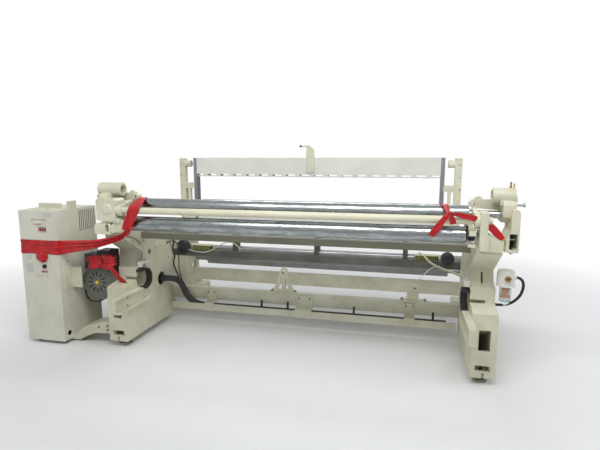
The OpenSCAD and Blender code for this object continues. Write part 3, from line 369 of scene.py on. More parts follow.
# Pale floor that keeps its shadow near the loom and turns white for the camera further away
floor_mat, ft, f_bsdf, f_where = fresh_material("pale_floor")
f_tone = ramp(ft, noise(ft, f_where, 2.0), 0.3, 0.7)
f_colour = mix(ft, f_tone, (0.83, 0.84, 0.84, 1.0), (0.80, 0.81, 0.81, 1.0))
feed(ft, f_bsdf, {"Roughness": 0.6, "Base Color": f_colour})
f_far = node(ft, "ShaderNodeVectorMath", {0: f_where}, operation="LENGTH").outputs["Value"]
ray = node(ft, "ShaderNodeLightPath").outputs
seen = math_node(ft, "MAXIMUM", ray["Is Camera Ray"], ray["Is Transmission Ray"])
f_white = node(ft, "ShaderNodeEmission", {"Strength": 1.0})
f_mix = node(ft, "ShaderNodeMixShader", {"Fac": times(ft, ramp(ft, f_far, *FLOOR_FADE), seen),
                 1: f_bsdf.outputs["BSDF"], 2: f_white.outputs["Emission"]})
f_out = next(n for n in ft.nodes if n.type == "OUTPUT_MATERIAL")
ft.links.new(f_mix.outputs["Shader"], f_out.inputs["Surface"])
mesh_object("shop_floor", [(-40, -40, 0), (40, -40, 0), (40, 40, 0), (-40, 40, 0)], [(0, 1, 2, 3)], floor_mat)

# FINISH OF EACH SOLID

for finish, nodes in (
    (cream_casting, "side_frame_left side_frame_right beam_rail_left beam_rail_right bearing_pillar_left base_arm "
        "bearing_pillar_right back_rest_bracket_left back_rest_bracket_right heald_guides breast_beam drive_housing"),
    (cream_sheet, "rear_stay conduit_tray stay_brackets frame_hook front_stay cabinet_brackets"),
    (cream_tube, "easing_levers"), (lock_white, "beam_lock_left beam_lock_right air_filter_head"),
    (rubber_black, "seat_liners press_roller cabinet_feet filter_hose"), (plastic_white, "main_switch"),
    (plastic_black, "conduit conduit_clips selector_knob"), (chrome_film, "upper_roller lower_roller"),
    (slat_white, "heald_frame_1 heald_frame_2 heald_frame_3 heald_frame_4"), (bolt_steel, "levelling_feet"),
    (ground_steel, "rocking_shaft reed cloth_roller stop_pins"), (sley_iron, "sley_beam"),
    (cabinet_white, "cabinet_body cabinet_door"), (plastic_red, "breaker_toggles stop_button"),
    (motor_grey, "main_motor motor_cowl"), (box_blue_black, "terminal_box"), (gear_case_painted_shade, "gear_case"),
    (cross_beam_painted_shade, "cross_beam"), (clear_bowl, "filter_bowl"), (element_orange, "filter_element"),
    (rail_grey, "valve_rail"), (valve_plastic, "valve_banks"), (grip_cover, "takeup_roller"),
    (ribbon_red, "door_ribbon ribbons")):
    for name in nodes.split():
        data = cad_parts[name].data
        data.materials.clear()
        data.materials.append(finish)


# REPEATED PIECES BY GEOMETRY NODES

def geometry_tree(name, inputs, takes_mesh=False):
    """An empty tree that ends in a finish; also its inputs and outputs as seen from inside"""
    tree = bpy.data.node_groups.new(name, "GeometryNodeTree")
    tree.is_modifier = True
    if takes_mesh:
        tree.interface.new_socket(name="Geometry", in_out="INPUT", socket_type="NodeSocketGeometry")
    tree.interface.new_socket(name="Geometry", in_out="OUTPUT", socket_type="NodeSocketGeometry")
    for label, kind in inputs + [("Finish", "Material")]:
        tree.interface.new_socket(name=label, in_out="INPUT", socket_type="NodeSocket" + kind)
    return tree, node(tree, "NodeGroupInput").outputs, node(tree, "NodeGroupOutput").inputs


def finish_tree(tree, gi, go, instances):
    real = node(tree, "GeometryNodeRealizeInstances", {"Geometry": instances}).outputs["Geometry"]
    paint = node(tree, "GeometryNodeSetMaterial", {"Geometry": real, "Material": gi["Finish"]})
    tree.links.new(paint.outputs["Geometry"], go["Geometry"])


# A row of equal bars: the dents of the reed
bar_row, gi, go = geometry_tree("bar_row", [("Count", "Int"), ("Start", "Vector"), ("Step", "Vector"),
                                ("Bar Size", "Vector")])
line = node(bar_row, "GeometryNodeMeshLine", {"Count": gi["Count"], "Start Location": gi["Start"],
                "Offset": gi["Step"]}).outputs["Mesh"]
bar = node(bar_row, "GeometryNodeMeshCube", {"Size": gi["Bar Size"]}).outputs["Mesh"]
put = node(bar_row, "GeometryNodeInstanceOnPoints", {"Points": line, "Instance": bar})
finish_tree(bar_row, gi, go, put.outputs["Instances"])

# Screw heads on given points: a chamfered head with a sunk socket, closed underneath
screw_heads, gi, go = geometry_tree("screw_heads", [("Sides", "Int"), ("Head Radius", "Float"),
                                    ("Head Height", "Float"), ("Socket Depth", "Float"), ("Turn", "Rotation")], True)
disc = node(screw_heads, "GeometryNodeMeshCircle", {"Vertices": gi["Sides"], "Radius": gi["Head Radius"]},
                fill_type="NGON").outputs["Mesh"]


def grow(tree, mesh, pick, height, shrink):
    """Pushes the picked faces out by a height and shrinks them; also returns them as the next pick"""
    sockets = {"Mesh": mesh, "Individual": False, "Offset Scale": height}
    if pick is not None:
        sockets["Selection"] = pick
    push = node(tree, "GeometryNodeExtrudeMesh", sockets).outputs
    if shrink is None:
        return push["Mesh"], push["Top"]
    pinch = node(tree, "GeometryNodeScaleElements", {"Geometry": push["Mesh"], "Selection": push["Top"],
                     "Scale": shrink})
    return pinch.outputs["Geometry"], push["Top"]


# The wall, the chamfer, the flat top and the socket
mesh, top = grow(screw_heads, disc, None, times(screw_heads, gi["Head Height"], 0.82), None)
for height, shrink in ((times(screw_heads, gi["Head Height"], 0.18), 0.86), (0.00002, 0.62),
                       (times(screw_heads, gi["Socket Depth"], -1.0), 0.94)):
    mesh, top = grow(screw_heads, mesh, top, height, shrink)
under = node(screw_heads, "GeometryNodeFlipFaces", {"Mesh": disc}).outputs["Mesh"]
join = node(screw_heads, "GeometryNodeJoinGeometry", {"Geometry": mesh})
screw_heads.links.new(under, join.inputs["Geometry"])
weld = node(screw_heads, "GeometryNodeMergeByDistance", {"Geometry": join.outputs["Geometry"],
                "Distance": 0.000001}).outputs["Geometry"]
spots = node(screw_heads, "GeometryNodeMeshToPoints", {"Mesh": gi["Geometry"]}).outputs["Points"]
place = node(screw_heads, "GeometryNodeInstanceOnPoints", {"Points": spots, "Instance": weld,
                 "Rotation": gi["Turn"]})
finish_tree(screw_heads, gi, go, place.outputs["Instances"])


def evaluated_mesh(obj):
    """The mesh of an object with its modifiers applied"""
    bpy.context.view_layer.update()
    return bpy.data.meshes.new_from_object(obj.evaluated_get(bpy.context.evaluated_depsgraph_get()))


def grown(name, tree, values, points=((0.0, 0.0, 0.0),)):
    """Runs a tree on the given points and returns the result as a plain mesh object"""
    seed = mesh_object(name + "_seed", points, [])
    mod = seed.modifiers.new("tree", "NODES")
    mod.node_group = tree
    for item in tree.interface.items_tree:
        if item.item_type == "SOCKET" and item.in_out == "INPUT" and item.name in values:
            mod[item.identifier] = values[item.name]
    result = evaluated_mesh(seed)
    bpy.data.objects.remove(seed)
    obj = bpy.data.objects.new(name, result)
    obj.data.name = name
    scene.collection.objects.link(obj)
    return obj


# WHERE EVERY PIECE HANGS, AND THE SOLID IT REPLACES


def settle(obj, body, replaces=None):
    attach(obj, body)
    if replaces:
        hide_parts(replaces)


FACING = {"-y": (math.pi / 2, 0.0, 0.0), "+y": (-math.pi / 2, 0.0, 0.0), "+x": (0.0, math.pi / 2, 0.0),
          "-x": (0.0, -math.pi / 2, 0.0), "+z": (0.0, 0.0, 0.0)}


def screws(name, facing, points, radius=0.008, height=0.006, socket=0.004, sides=14, body="loom"):
    """Equal screw heads at points in millimetres; their own measures are in metres"""
    values = {"Sides": sides, "Head Radius": radius, "Head Height": height, "Socket Depth": socket,
              "Turn": FACING[facing], "Finish": bolt_steel}
    settle(grown(name, screw_heads, values, [mm(*q) for q in points]), body)


# SHAPES GIVEN ONE BY ONE, EACH AS (POINTS, FACES)

# In degrees: above which angle an edge is rounded, and stays sharp in the shading
PLATE_EDGE, CAST_EDGE, TURNED_SHARP, CAST_SHARP = 40, 28, 34, 20
EDGE_STEPS, CAST_ROUNDING, RIBBON_THICKNESS, WELD = 2, 1.8, 0.0007, 0.00001


def outward(obj):
    """Welds the points and turns every face to the outside"""
    bm = bmesh.new()
    bm.from_mesh(obj.data)
    bmesh.ops.remove_doubles(bm, verts=bm.verts, dist=WELD)
    bmesh.ops.recalc_face_normals(bm, faces=bm.faces)
    bm.to_mesh(obj.data)
    bm.free()
    return obj


def round_edges(obj, width, angle):
    """Rounds the edges above an angle in degrees; the width is in millimetres"""
    edge = obj.modifiers.new("edge_round", "BEVEL")
    edge.width = width / 1000.0
    edge.segments = EDGE_STEPS
    edge.limit_method = "ANGLE"
    edge.angle_limit = math.radians(angle)


def catmull(points, steps):
    """A smooth curve through the points"""
    pts = [Vector(p) for p in points]
    out = []
    for i in range(len(pts) - 1):
        a, b, c, d = pts[max(i - 1, 0)], pts[i], pts[i + 1], pts[min(i + 2, len(pts) - 1)]
        for k in range(steps):
            t = k / steps
            out.append(0.5 * (2 * b + (c - a) * t + (2 * a - 5 * b + 4 * c - d) * t * t
                              + (3 * b - a - 3 * c + d) * t ** 3))
    out.append(pts[-1])
    return out


def direction(path, i):
    return (path[min(i + 1, len(path) - 1)] - path[max(i - 1, 0)]).normalized()


# For a direction of depth: which coordinates the outline gives, and which one is the depth
OUTLINE_AXES = {"x": (1, 2, 0), "y": (0, 2, 1), "z": (0, 1, 2)}


def point_along(axis, first, second, depth):
    u, v, w = OUTLINE_AXES[axis]
    q = [0.0, 0.0, 0.0]
    q[u], q[v], q[w] = first, second, depth
    return mm(*q)


def prism(axis, a, b, outline):
    """A flat outline in millimetres pushed from depth a to depth b along an axis"""
    verts = [point_along(axis, q[0], q[1], d) for d in (a, b) for q in outline]
    n = len(outline)
    faces = [tuple(range(n)), tuple(range(2 * n - 1, n - 1, -1))]
    return verts, faces + [(i, (i + 1) % n, n + (i + 1) % n, n + i) for i in range(n)]


def ring_faces(rings, sides, closed=False):
    """The walls between rings of points, and a lid on both ends unless the last ring meets the first"""
    faces = []
    for i in range(rings if closed else rings - 1):
        j = (i + 1) % rings
        faces += [(i * sides + k, i * sides + (k + 1) % sides, j * sides + (k + 1) % sides, j * sides + k)
                  for k in range(sides)]
    return faces if closed else faces + [tuple(range(sides)), tuple(range((rings - 1) * sides, rings * sides))]


def lathe(axis, centre, profile, sides=44, hollow=False):
    """A turned shape: the profile gives (place along the axis, radius). A hollow one is a ring"""
    verts = []
    for along, r in profile:
        for k in range(sides):
            t = 2 * math.pi * k / sides
            verts.append(point_along(axis, centre[0] + r * math.cos(t), centre[1] + r * math.sin(t), along))
    return verts, ring_faces(len(profile), sides, hollow)


def rod(axis, centre, a, b, r):
    return lathe(axis, centre, [(a, r), (b, r)])


def rect(x0, z0, x1, z1):
    return [(x0, z0), (x1, z0), (x1, z1), (x0, z1)]


def soft(x0, z0, x1, z1, r):
    """A rectangle with rounded corners"""
    spots = []
    for cx, cz, start in ((x1 - r, z1 - r, 0), (x0 + r, z1 - r, 90), (x0 + r, z0 + r, 180), (x1 - r, z0 + r, 270)):
        turns = [math.radians(start + 15 * k) for k in range(7)]
        spots += [(cx + r * math.cos(t), cz + r * math.sin(t)) for t in turns]
    return spots


def joined(shapes):
    verts, faces = [], []
    for v, f in shapes:
        base = len(verts)
        verts += v
        faces += [tuple(base + i for i in face) for face in f]
    return verts, faces


def plate(name, axis, a, b, outline, finish, bevel=1.2, body="loom"):
    """A prism with rounded edges as a piece"""
    obj = outward(mesh_object(name, *prism(axis, a, b, outline), finish))
    if bevel:
        round_edges(obj, bevel, PLATE_EDGE)
    settle(obj, body)


def smooth_piece(name, shape, finish):
    obj = outward(mesh_object(name, *shape, finish, True))
    obj.data.set_sharp_from_angle(angle=math.radians(TURNED_SHARP))
    return obj


def turned(name, axis, centre, profile, finish, sides=36, hollow=False, body="loom"):
    settle(smooth_piece(name, lathe(axis, centre, profile, sides, hollow), finish), body)


def cable(name, route, diameter, finish, steps=4, sides=10, replaces=None):
    """A round cable or hose that leaves the loom at its first point and goes back into it at its last"""
    path = catmull([mm(*q) for q in route], steps)
    radius, verts, last = diameter / 2000.0, [], None
    for i, q in enumerate(path):
        d = direction(path, i)
        u = d.orthogonal() if last is None else last - d * last.dot(d)
        u.normalize()
        last = u
        v = d.cross(u)
        for k in range(sides):
            t = 2 * math.pi * k / sides
            verts.append(q + radius * (math.cos(t) * u + math.sin(t) * v))
    obj = outward(mesh_object(name, verts, ring_faces(len(path), sides), finish, True))
    settle(obj, "loom", replaces)


UP, ALONG = (0, 0, 1), (1, 0, 0)
# Folds of a ribbon: pleats across it, and the rates of the drift, ripple and fine ripple along it
PLEATS, DRIFT, RIPPLE, FINE_RIPPLE = 3, 3, 40, 95


def ribbon(name, body, stations, side=UP, steps=8, across=8, ripple=0.0025, seed=3,
           replaces=None, pleats=0.010, crossing=None):
    """A satin strip through stations: (x, y, z, gathered width in millimetres, direction across if not side).
    It folds more where it is gathered. crossing: when given, the strip is not attached to a body and keeps its place
    baked in; the body argument and what crossing holds are not used"""
    rng = random.Random(seed)
    phase = [rng.uniform(0, 6.28) for _ in range(4)]
    widths = [q[3] / 1000.0 for q in stations]
    full = max(widths)
    spine = catmull([mm(*q[:3]) for q in stations], steps)
    sides = catmull([q[4] if len(q) > 4 else side for q in stations], steps)
    width = [v.x for v in catmull([(w, 0, 0) for w in widths], steps)]
    verts, uvs, faces, length = [], [], [], 0.0
    for i, p in enumerate(spine):
        along = direction(spine, i)
        s = sides[i] - along * sides[i].dot(along)
        s.normalize()
        n = along.cross(s).normalized()
        if i:
            length += (p - spine[i - 1]).length
        slack = max(0.0, 1.0 - width[i] / full)
        for k in range(across + 1):
            u = k / across - 0.5
            fold = math.sin(u * PLEATS * math.pi * 2 + phase[0] + length * DRIFT) * (0.25 + slack) * pleats
            fold += math.sin(length * RIPPLE + phase[1] + u * 5) * ripple
            fold += math.sin(length * FINE_RIPPLE + u * 9 + phase[2]) * ripple * 0.35
            verts.append(p + s * (u * width[i]) + n * fold)
            uvs.append((u * full, length))
    row = across + 1
    for i in range(len(spine) - 1):
        for k in range(across):
            faces.append((i * row + k, i * row + k + 1, (i + 1) * row + k + 1, (i + 1) * row + k))
    obj = mesh_object(name, verts, faces, ribbon_red, True)
    layer = obj.data.uv_layers.new(name="strip")
    for loop in obj.data.loops:
        layer.data[loop.index].uv = uvs[loop.vertex_index]
    wall = obj.modifiers.new("cloth_wall", "SOLIDIFY")
    wall.thickness = RIBBON_THICKNESS
    wall.offset = 0.0
    if crossing:
        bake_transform(obj)
    else:
        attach(obj, body)
    if replaces:
        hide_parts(replaces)


# AIR HOSE: its route is the one of its solid, past the bowl and back into the frame

cable("air_hose", [(1493.5, 130, 698), (1520, 130, 697), (1546, 132, 684), (1560, 138, 654), (1560, 146, 612),
    (1546, 156, 566), (1514, 168, 524), (1476, 178, 500), (1436, 184, 492), (1401.4, 186, 492)], 18,
    rubber_black, steps=3, sides=14, replaces="filter_hose")

# RED RIBBONS

ribbon("door_band", "door", [(-2093.6, -53, 779, 112), (-2094.2, -62, 779, 112), (-2088, -67.4, 779, 112),
    (-2040, -68.4, 779, 110), (-1960, -68.8, 780, 108), (-1870, -68.6, 780, 106), (-1800, -68.4, 779, 108),
    (-1760, -68.0, 779, 110), (-1754.0, -62, 779, 111), (-1753.4, -51.3, 779, 111)],
    across=18, ripple=0.0009, steps=7, replaces="door_ribbon", pleats=0.005)
ribbon("door_knot_flap", "door", [(-1900, -71, 738, 84, ALONG), (-1902, -75, 716, 112, (1, 0, 0.05)),
    (-1896, -77, 694, 100), (-1889, -74, 670, 58), (-1886, -72, 661, 34)], side=(1, 0, 0.1),
    across=12, ripple=0.0022, pleats=0.004, seed=8)
ribbon("span_ribbon", "loom", [(-1751.6, -53.6, 779, 111), (-1748.5, -50.9, 779, 111), (-1733, -49.4, 780, 106),
    (-1680, -48.5, 787, 98), (-1600, -47, 797, 86), (-1530, -45.5, 806, 76), (-1475, -44, 813, 68),
    (-1400, -42, 829, 58), (-1320, -40, 849, 50), (-1256, -38.5, 867, 44), (-1215, -37.5, 886, 38),
    (-1186, -37, 908, 34, (-0.3, 0, 1))], across=18, ripple=0.0010, steps=6,
    replaces="ribbons", pleats=0.009, crossing=("easing", mm(-1560, -46, 802), mm(-1190, -37, 905)))
ribbon("left_over_roller", "easing", [(-1190, -36.5, 926, 66, (0.9, 0, -0.35)),
    (-1172, -36, 962, 76, (0.9, 0, -0.35)), (-1150, -35, 1010, 80, (0.92, 0, -0.3)),
    (-1130, -33.5, 1052, 86, (0.96, 0, -0.2)), (-1119, -30, 1082, 90, (1, 0, -0.1)), (-1113, -17, 1105, 90),
    (-1117, 30, 1129, 86), (-1128, 84, 1151, 72), (-1136, 120, 1159, 62), (-1139, 145, 1159.5, 58),
    (-1143, 172, 1149, 55), (-1147, 190, 1120, 52), (-1150, 193, 1096, 48)],
    side=ALONG, across=12, ripple=0.0011, pleats=0.0035, seed=5)
ribbon("left_wrap", "easing", [(-1206, -30, 900, 30), (-1190, -41, 906, 44), (-1172, -42, 920, 48),
    (-1156, -34, 936, 40), (-1150, -28, 948, 24)], side=(0.5, 0, 0.8), across=10,
    ripple=0.002, pleats=0.008, seed=12)
ribbon("right_over_roller", "easing", [(1040, 193, 1098, 40), (1042, 190, 1122, 42), (1045, 172, 1149, 44),
    (1049, 145, 1160, 44), (1052, 118, 1159, 42), (1058, 84, 1151, 38), (1066, 30, 1128, 34),
    (1072, -14, 1112, 30, (1, 0, 0.1)), (1073, -30, 1106, 26, (1, 0, 0.2))],
    side=ALONG, across=10, ripple=0.0012, pleats=0.003, seed=7)
ribbon("right_bow_wrap", "easing", [(1060, -27, 1090, 18, (0.4, 0, 1)), (1060, -37, 1104, 30, (0.5, 0, 1)),
    (1072, -43, 1110, 34, (0.1, 0, 1)), (1086, -38, 1111, 32, (-0.1, 0, 1)), (1092, -29, 1108, 20)],
    ripple=0.0016, pleats=0.006, seed=21)
ribbon("right_tail_long", "easing", [(1068, -37, 1112, 22, (0.9, 0, -0.5)), (1050, -40, 1096, 30, (0.85, 0, -0.5)),
    (1030, -37.5, 1066, 36, (0.9, 0, -0.42)), (1010, -38, 1036, 42, (0.9, 0, -0.4)),
    (990, -38, 1008, 44, (0.9, 0, -0.4)), (974, -38, 986, 40, (0.9, 0, -0.3)),
    (967, -37, 974, 30, (0.8, 0, -0.3))], ripple=0.0014,
    pleats=0.003, seed=31)
ribbon("right_tail_short", "easing", [(1077, -38, 1110, 18), (1084, -41, 1094, 28),
    (1091, -39, 1074, 36, (1, 0, -0.05)), (1095, -38, 1052, 38, (1, 0, 0.08))], side=ALONG,
    ripple=0.0014, pleats=0.004, seed=37)
ribbon("right_tail_side", "easing", [(1082, -38, 1112, 16), (1108, -41, 1114, 24, (0.1, 0, 1)),
    (1140, -39, 1108, 32), (1180, -41, 1100, 34, (-0.1, 0, 1)), (1212, -42, 1093, 36, (-0.2, 0, 1)),
    (1230, -41, 1086, 34, (-0.2, 0, 1))], ripple=0.0016, pleats=0.004, seed=41)
ribbon("post_ribbon", "loom", [(1301, -14, 1050, 50, (0.5, 0, 0.86)), (1320, -14.4, 1036, 46, (0.6, 0, 0.8)),
    (1345, -14.6, 1011, 46, (0.62, 0, 0.78)), (1370, -14.4, 985, 40, (0.66, 0, 0.75)),
    (1389, -14, 962, 36, (0.75, 0, 0.66))], ripple=0.0012,
    pleats=0.003, seed=43)
ribbon("motor_bow_left_loop", "loom", [(-1480, 74, 652, 70, (0.1, 0, 1)), (-1512, 56, 655, 96, (0.05, 0, 1)),
    (-1548, 46, 654, 104), (-1588, 52, 644, 84, (-0.15, 0, 1)), (-1607, 68, 637, 52, (-0.2, 0, 1)),
    (-1606, 84, 636, 50, (-0.2, 0, 1)), (-1584, 97, 646, 66, (-0.1, 0, 1)), (-1546, 100, 660, 72),
    (-1510, 93, 660, 56), (-1488, 82, 652, 34)], across=12, ripple=0.0035,
    seed=51, steps=7)
ribbon("motor_bow_right_loop", "loom", [(-1494, 70, 652, 78), (-1464, 50, 657, 108), (-1426, 42, 660, 118),
    (-1388, 48, 661, 104), (-1370, 66, 660, 66), (-1369, 84, 660, 64), (-1390, 98, 664, 84),
    (-1428, 101, 664, 88), (-1464, 93, 660, 60), (-1486, 82, 654, 36)],
    across=12, ripple=0.0035, seed=57, steps=7)
ribbon("motor_bow_wrap", "loom", [(-1487, 94, 628, 34), (-1487, 72, 618, 38), (-1487, 50, 634, 44, (1, 0, 0.1)),
    (-1487, 42, 656, 46, (1, 0, 0.1)), (-1487, 54, 682, 44), (-1487, 78, 692, 40), (-1487, 102, 682, 36),
    (-1487, 110, 660, 30)], side=ALONG,
    across=10, ripple=0.002, pleats=0.006, seed=61)
ribbon("motor_bow_tail", "loom", [(-1470, 52, 634, 26, (0.2, 0, 1)), (-1436, 40, 634, 40, (0.2, 0, 1)),
    (-1398, 38, 622, 42, (0.6, 0, 0.8)), (-1366, 46, 590, 38, (0.85, 0, 0.5)),
    (-1345, 60, 546, 40, (0.93, 0.05, 0.35)), (-1326, 76, 514, 50, (0.97, 0.05, 0.2)),
    (-1312, 88, 498, 64, (1, 0, 0.05)), (-1306, 98, 497, 66)], side=ALONG,
    across=10, ripple=0.0022, pleats=0.005, seed=67)

# CABLES

cable("bank_tube_left", [(-1246, 722, 668), (-1222, 756, 664), (-1190, 786, 652), (-1150, 798, 634),
    (-1090, 800, 618), (-1030, 801, 608), (-970, 801, 606), (-910, 801, 622), (-850, 802, 655),
    (-790, 804, 690), (-740, 808, 706), (-690, 816, 700), (-650, 824, 674), (-630, 828, 648), (-627, 829, 633)],
    9, cable_cream)
cable("bank_tube_right", [(926, 816, 694), (948, 802, 684), (975, 790, 664), (1015, 784, 625), (1060, 782, 598),
    (1102, 780, 580), (1150, 780, 564), (1196, 772, 552), (1226, 752, 545), (1246, 724, 542)], 12, cable_cream,
    steps=5)
cable("bank_tube_right_thin", [(938, 816, 692), (966, 800, 668), (1006, 794, 618), (1056, 792, 586),
    (1104, 790, 566), (1160, 788, 550), (1198, 778, 540), (1228, 752, 533), (1246, 722, 530)], 8, cable_cream,
    steps=5)
cable("pillar_air_tube", [(1092, 776, 592), (1066, 770, 594), (1030, 766, 580), (996, 762, 552), (966, 758, 518),
    (938, 752, 488), (918, 746, 474), (906, 742, 468.4)], 6, plastic_white, steps=5)
cable("frame_cable_thick", [(-1253, 596, 768), (-1236, 620, 770), (-1216, 668, 758), (-1214, 706, 712),
    (-1224, 700, 652), (-1214, 716, 588), (-1218, 694, 530), (-1210, 704, 466), (-1188, 716, 400),
    (-1156, 708, 344), (-1126, 690, 300)], 15, rubber_black)
cable("frame_cable_thin", [(-1253, 640, 706), (-1232, 660, 720), (-1204, 704, 716), (-1192, 736, 670),
    (-1200, 744, 606), (-1190, 742, 540), (-1190, 738, 470), (-1172, 728, 400), (-1146, 714, 340),
    (-1124, 698, 292)], 10, rubber_black)
cable("bracket_cable", [(-1243, 40, 884), (-1236, 56, 868), (-1233, 96, 852), (-1233, 136, 838), (-1234, 176, 816),
    (-1238, 212, 790), (-1246, 230, 770)], 6, rubber_black)
cable("motor_cable", [(-1700, 190, 561), (-1712, 184, 520), (-1728, 175, 450), (-1728, 168, 370), (-1700, 162, 312),
    (-1640, 166, 292), (-1586, 180, 306), (-1560, 192, 328), (-1555, 198, 342)], 12, rubber_black, steps=5)

# BACK-REST BRACKETS: the two castings differ, as in the photo

def casting(name, parts, cutters, replaces):
    """One cast piece: every part gets rounded edges, then the bores are cut through all of them"""
    tools = [outward(mesh_object(name + "_tool", *shape, cream_casting)) for shape in cutters]
    lumps = []
    for shape in parts:
        lump = outward(mesh_object(name + "_lump", *shape, cream_casting))
        round_edges(lump, CAST_ROUNDING, CAST_EDGE)
        for tool in tools:
            cut = lump.modifiers.new("bore", "BOOLEAN")
            cut.operation = "DIFFERENCE"
            cut.solver = "EXACT"
            cut.object = tool
        result = evaluated_mesh(lump)
        lumps.append(([tuple(q.co) for q in result.vertices], [tuple(f.vertices) for f in result.polygons]))
        bpy.data.meshes.remove(result)
        bpy.data.objects.remove(lump)
    for tool in tools:
        bpy.data.objects.remove(tool)
    obj = mesh_object(name, *joined(lumps), cream_casting, True)
    obj.data.set_sharp_from_angle(angle=math.radians(CAST_SHARP))
    settle(obj, "loom", replaces)


def L(d):
    """The place along x that lies d millimetres outside the left arm's inner wall"""
    return -(INNER_WALL + d)


def R(d):
    return INNER_WALL + d


def roller_housing(x, eye_a, eye_b):
    """Housing of the upper roller's journal with a bored cross cylinder above and an arm that points inwards"""
    return [prism("x", x(152), x(226.3), [(60, 1092), (105, 1053), (215, 1053), (235, 1085), (235, 1176),
                (214, 1192), (92, 1192), (60, 1166)]),
            prism("y", 92, 188, rect(x(139), 1160, x(204), 1218)),
            lathe("x", (140, 1218), [(x(eye_a + 40), 0.4), (x(eye_a + 40), 33), (x(eye_a - 5), 33), (x(eye_a - 5), 46),
                  (x(eye_a), 46), (x(eye_a), 52), (x(eye_b), 52), (x(eye_b), 0.4)]),
            prism("y", 188, 236, [(x(-8), 1134), (x(167), 1118), (x(167), 1192), (x(-8), 1186)]),
            rod("y", (x(-8), 1160), 187.4, 236.6, 26), rod("y", (x(24), 1180), 196, 230, 28)]


TUBE_BORE, ROLLER_BORE, EYE_BORE = 24.8, 20.4, 8


def bores(x):
    """Where the cross tube and the lower roller pass, and the eye of the inward arm"""
    return [rod("x", CROSS_TUBE, x(-60), x(84), TUBE_BORE), rod("x", LOWER_ROLLER, x(-60), x(84), ROLLER_BORE),
            rod("y", (x(-8), 1160), 180, 245, EYE_BORE)]


casting("bracket_casting_left", [
    prism("y", -30, 95, soft(L(185), 994, L(25), 1159, 22)),
    lathe("y", (L(94), 1082), [(-27, 43), (-29, 43), (-38, 33)]),
    rod("x", CROSS_TUBE, L(12), L(26), 31.5),
    prism("x", L(-27), L(64), rect(-8, 905, 110, 1002)),
    prism("y", -22, 100, rect(L(148), 981, L(0), 1014)),
    prism("y", -26, 180, [(L(77), 890), (L(204), 890), (L(211), 898), (L(211), 958), (L(198), 973), (L(77), 973)]),
    prism("y", 30, 100, rect(L(148), 905, L(105), 1000)),
    prism("y", -20, 60, [(L(45), 905), (L(96), 905), (L(96), 940), (L(45), 985)])] + roller_housing(L, 66, 253),
    bores(L) + [prism("y", -40, 24, soft(L(119), 910, L(91), 968, 13.9))], "back_rest_bracket_left")
casting("bracket_casting_right", [
    prism("x", R(9), R(55), [(-42, 890), (19.7, 890), (19.7, 905), (160, 905), (160, 935), (100, 985), (92, 1040),
        (40, 1110), (30, 1133), (-34, 1133), (-42, 1125)]),
    prism("y", -48, 10, rect(R(14), 890, R(61), 981)),
    prism("y", -30, 160, [(R(50), 885), (R(149), 885), (R(149), 950), (R(61), 989), (R(50), 989)]),
    prism("x", R(-51), R(-9), [(-20, 978), (26, 978), (26, 996), (95, 996), (95, 1012), (-20, 1012)]),
    prism("y", -12, 40, rect(R(-54), 905, R(-9), 922)),
    rod("x", (0, 1022.5), R(-57), R(12), 9),
    prism("y", 20, 215, [(R(169), 877), (R(246), 877), (R(246), 1118), (R(243), 1130), (R(236), 1138), (R(224), 1141),
        (R(200), 1141), (R(195), 1100), (R(195), 1015), (R(169), 955)]),
    prism("y", 60, 200, rect(R(144), 905, R(172), 960)),
    lathe("x", (60, 900), [(R(156.4), 22), (R(201), 22), (R(201), 40), (R(217), 40)])] + roller_housing(R, 99, 230),
    bores(R) + [prism("y", 10, 230, soft(R(190), 897, R(236), 993, 5))], "back_rest_bracket_right")
plate("left_slot_shade", "y", 20.5, 23.6, rect(-1363, 912, -1337, 966), rubber_black, 0)
# Black sheet inside the right bracket's window: painted shade
plate("right_window_painted_shade", "y", 206, 212, rect(1435.3, 897.3, 1480.7, 992.7), rubber_black, 0)
plate("right_window_bar", "y", 56, 70, rect(1435.2, 950, 1480.8, 959), ground_steel, 1.5)

# DARK, BRASS AND PLASTIC FITTINGS, AND A BLACK SHEET AS PAINTED SHADE

# Black sheet as painted shade: it fills the gap between the arm's outer wall and the motor, where only shade shows
plate("drive_gap_painted_shade", "y", 171, 175, [(-1464, 566), (-1401.2, 540), (-1401.2, 745), (-1466, 745), (-1494, 716),
      (-1494, 624)], rubber_black, 1)
turned("cowl_cap", "y", (-1555, 479), [(91, 14), (85, 14), (83, 12.5), (82, 9)], yellow_plastic)
turned("hook_tip", "x", (929, 1557), [(-100.6, 7.4), (-99.4, 8.6), (-86, 8.6), (-84, 7.2)], rubber_black,
       body="heald_1")
turned("brass_nipple_front", "z", (1447, 140), [(1266, 7.5), (1281, 7.5), (1282, 4.6), (1295, 4.6), (1296, 6),
       (1304, 6), (1306, 3)], brass, 20)
turned("brass_nipple_rear", "z", (1468, 150), [(1262, 4.2), (1296, 4.2), (1299, 2.6)], brass, 20)
turned("eye_plug", "x", (150, 1197), [(1474.6, 24), (1486, 24), (1489, 22), (1492, 16)], plastic_white)
turned("port_ring", "y", (1453, 698), [(67.6, 11.9), (64, 12.4), (64, 20), (67.6, 21.5)], brass, 6, True)
for tag, s in (("right", 1), ("left", -1)):
    turned("lower_roller_seal_" + tag, "x", LOWER_ROLLER, [(s * 1178.1, 44), (s * 1186, 44), (s * 1189, 41)],
           rubber_black, body="lower_roll")
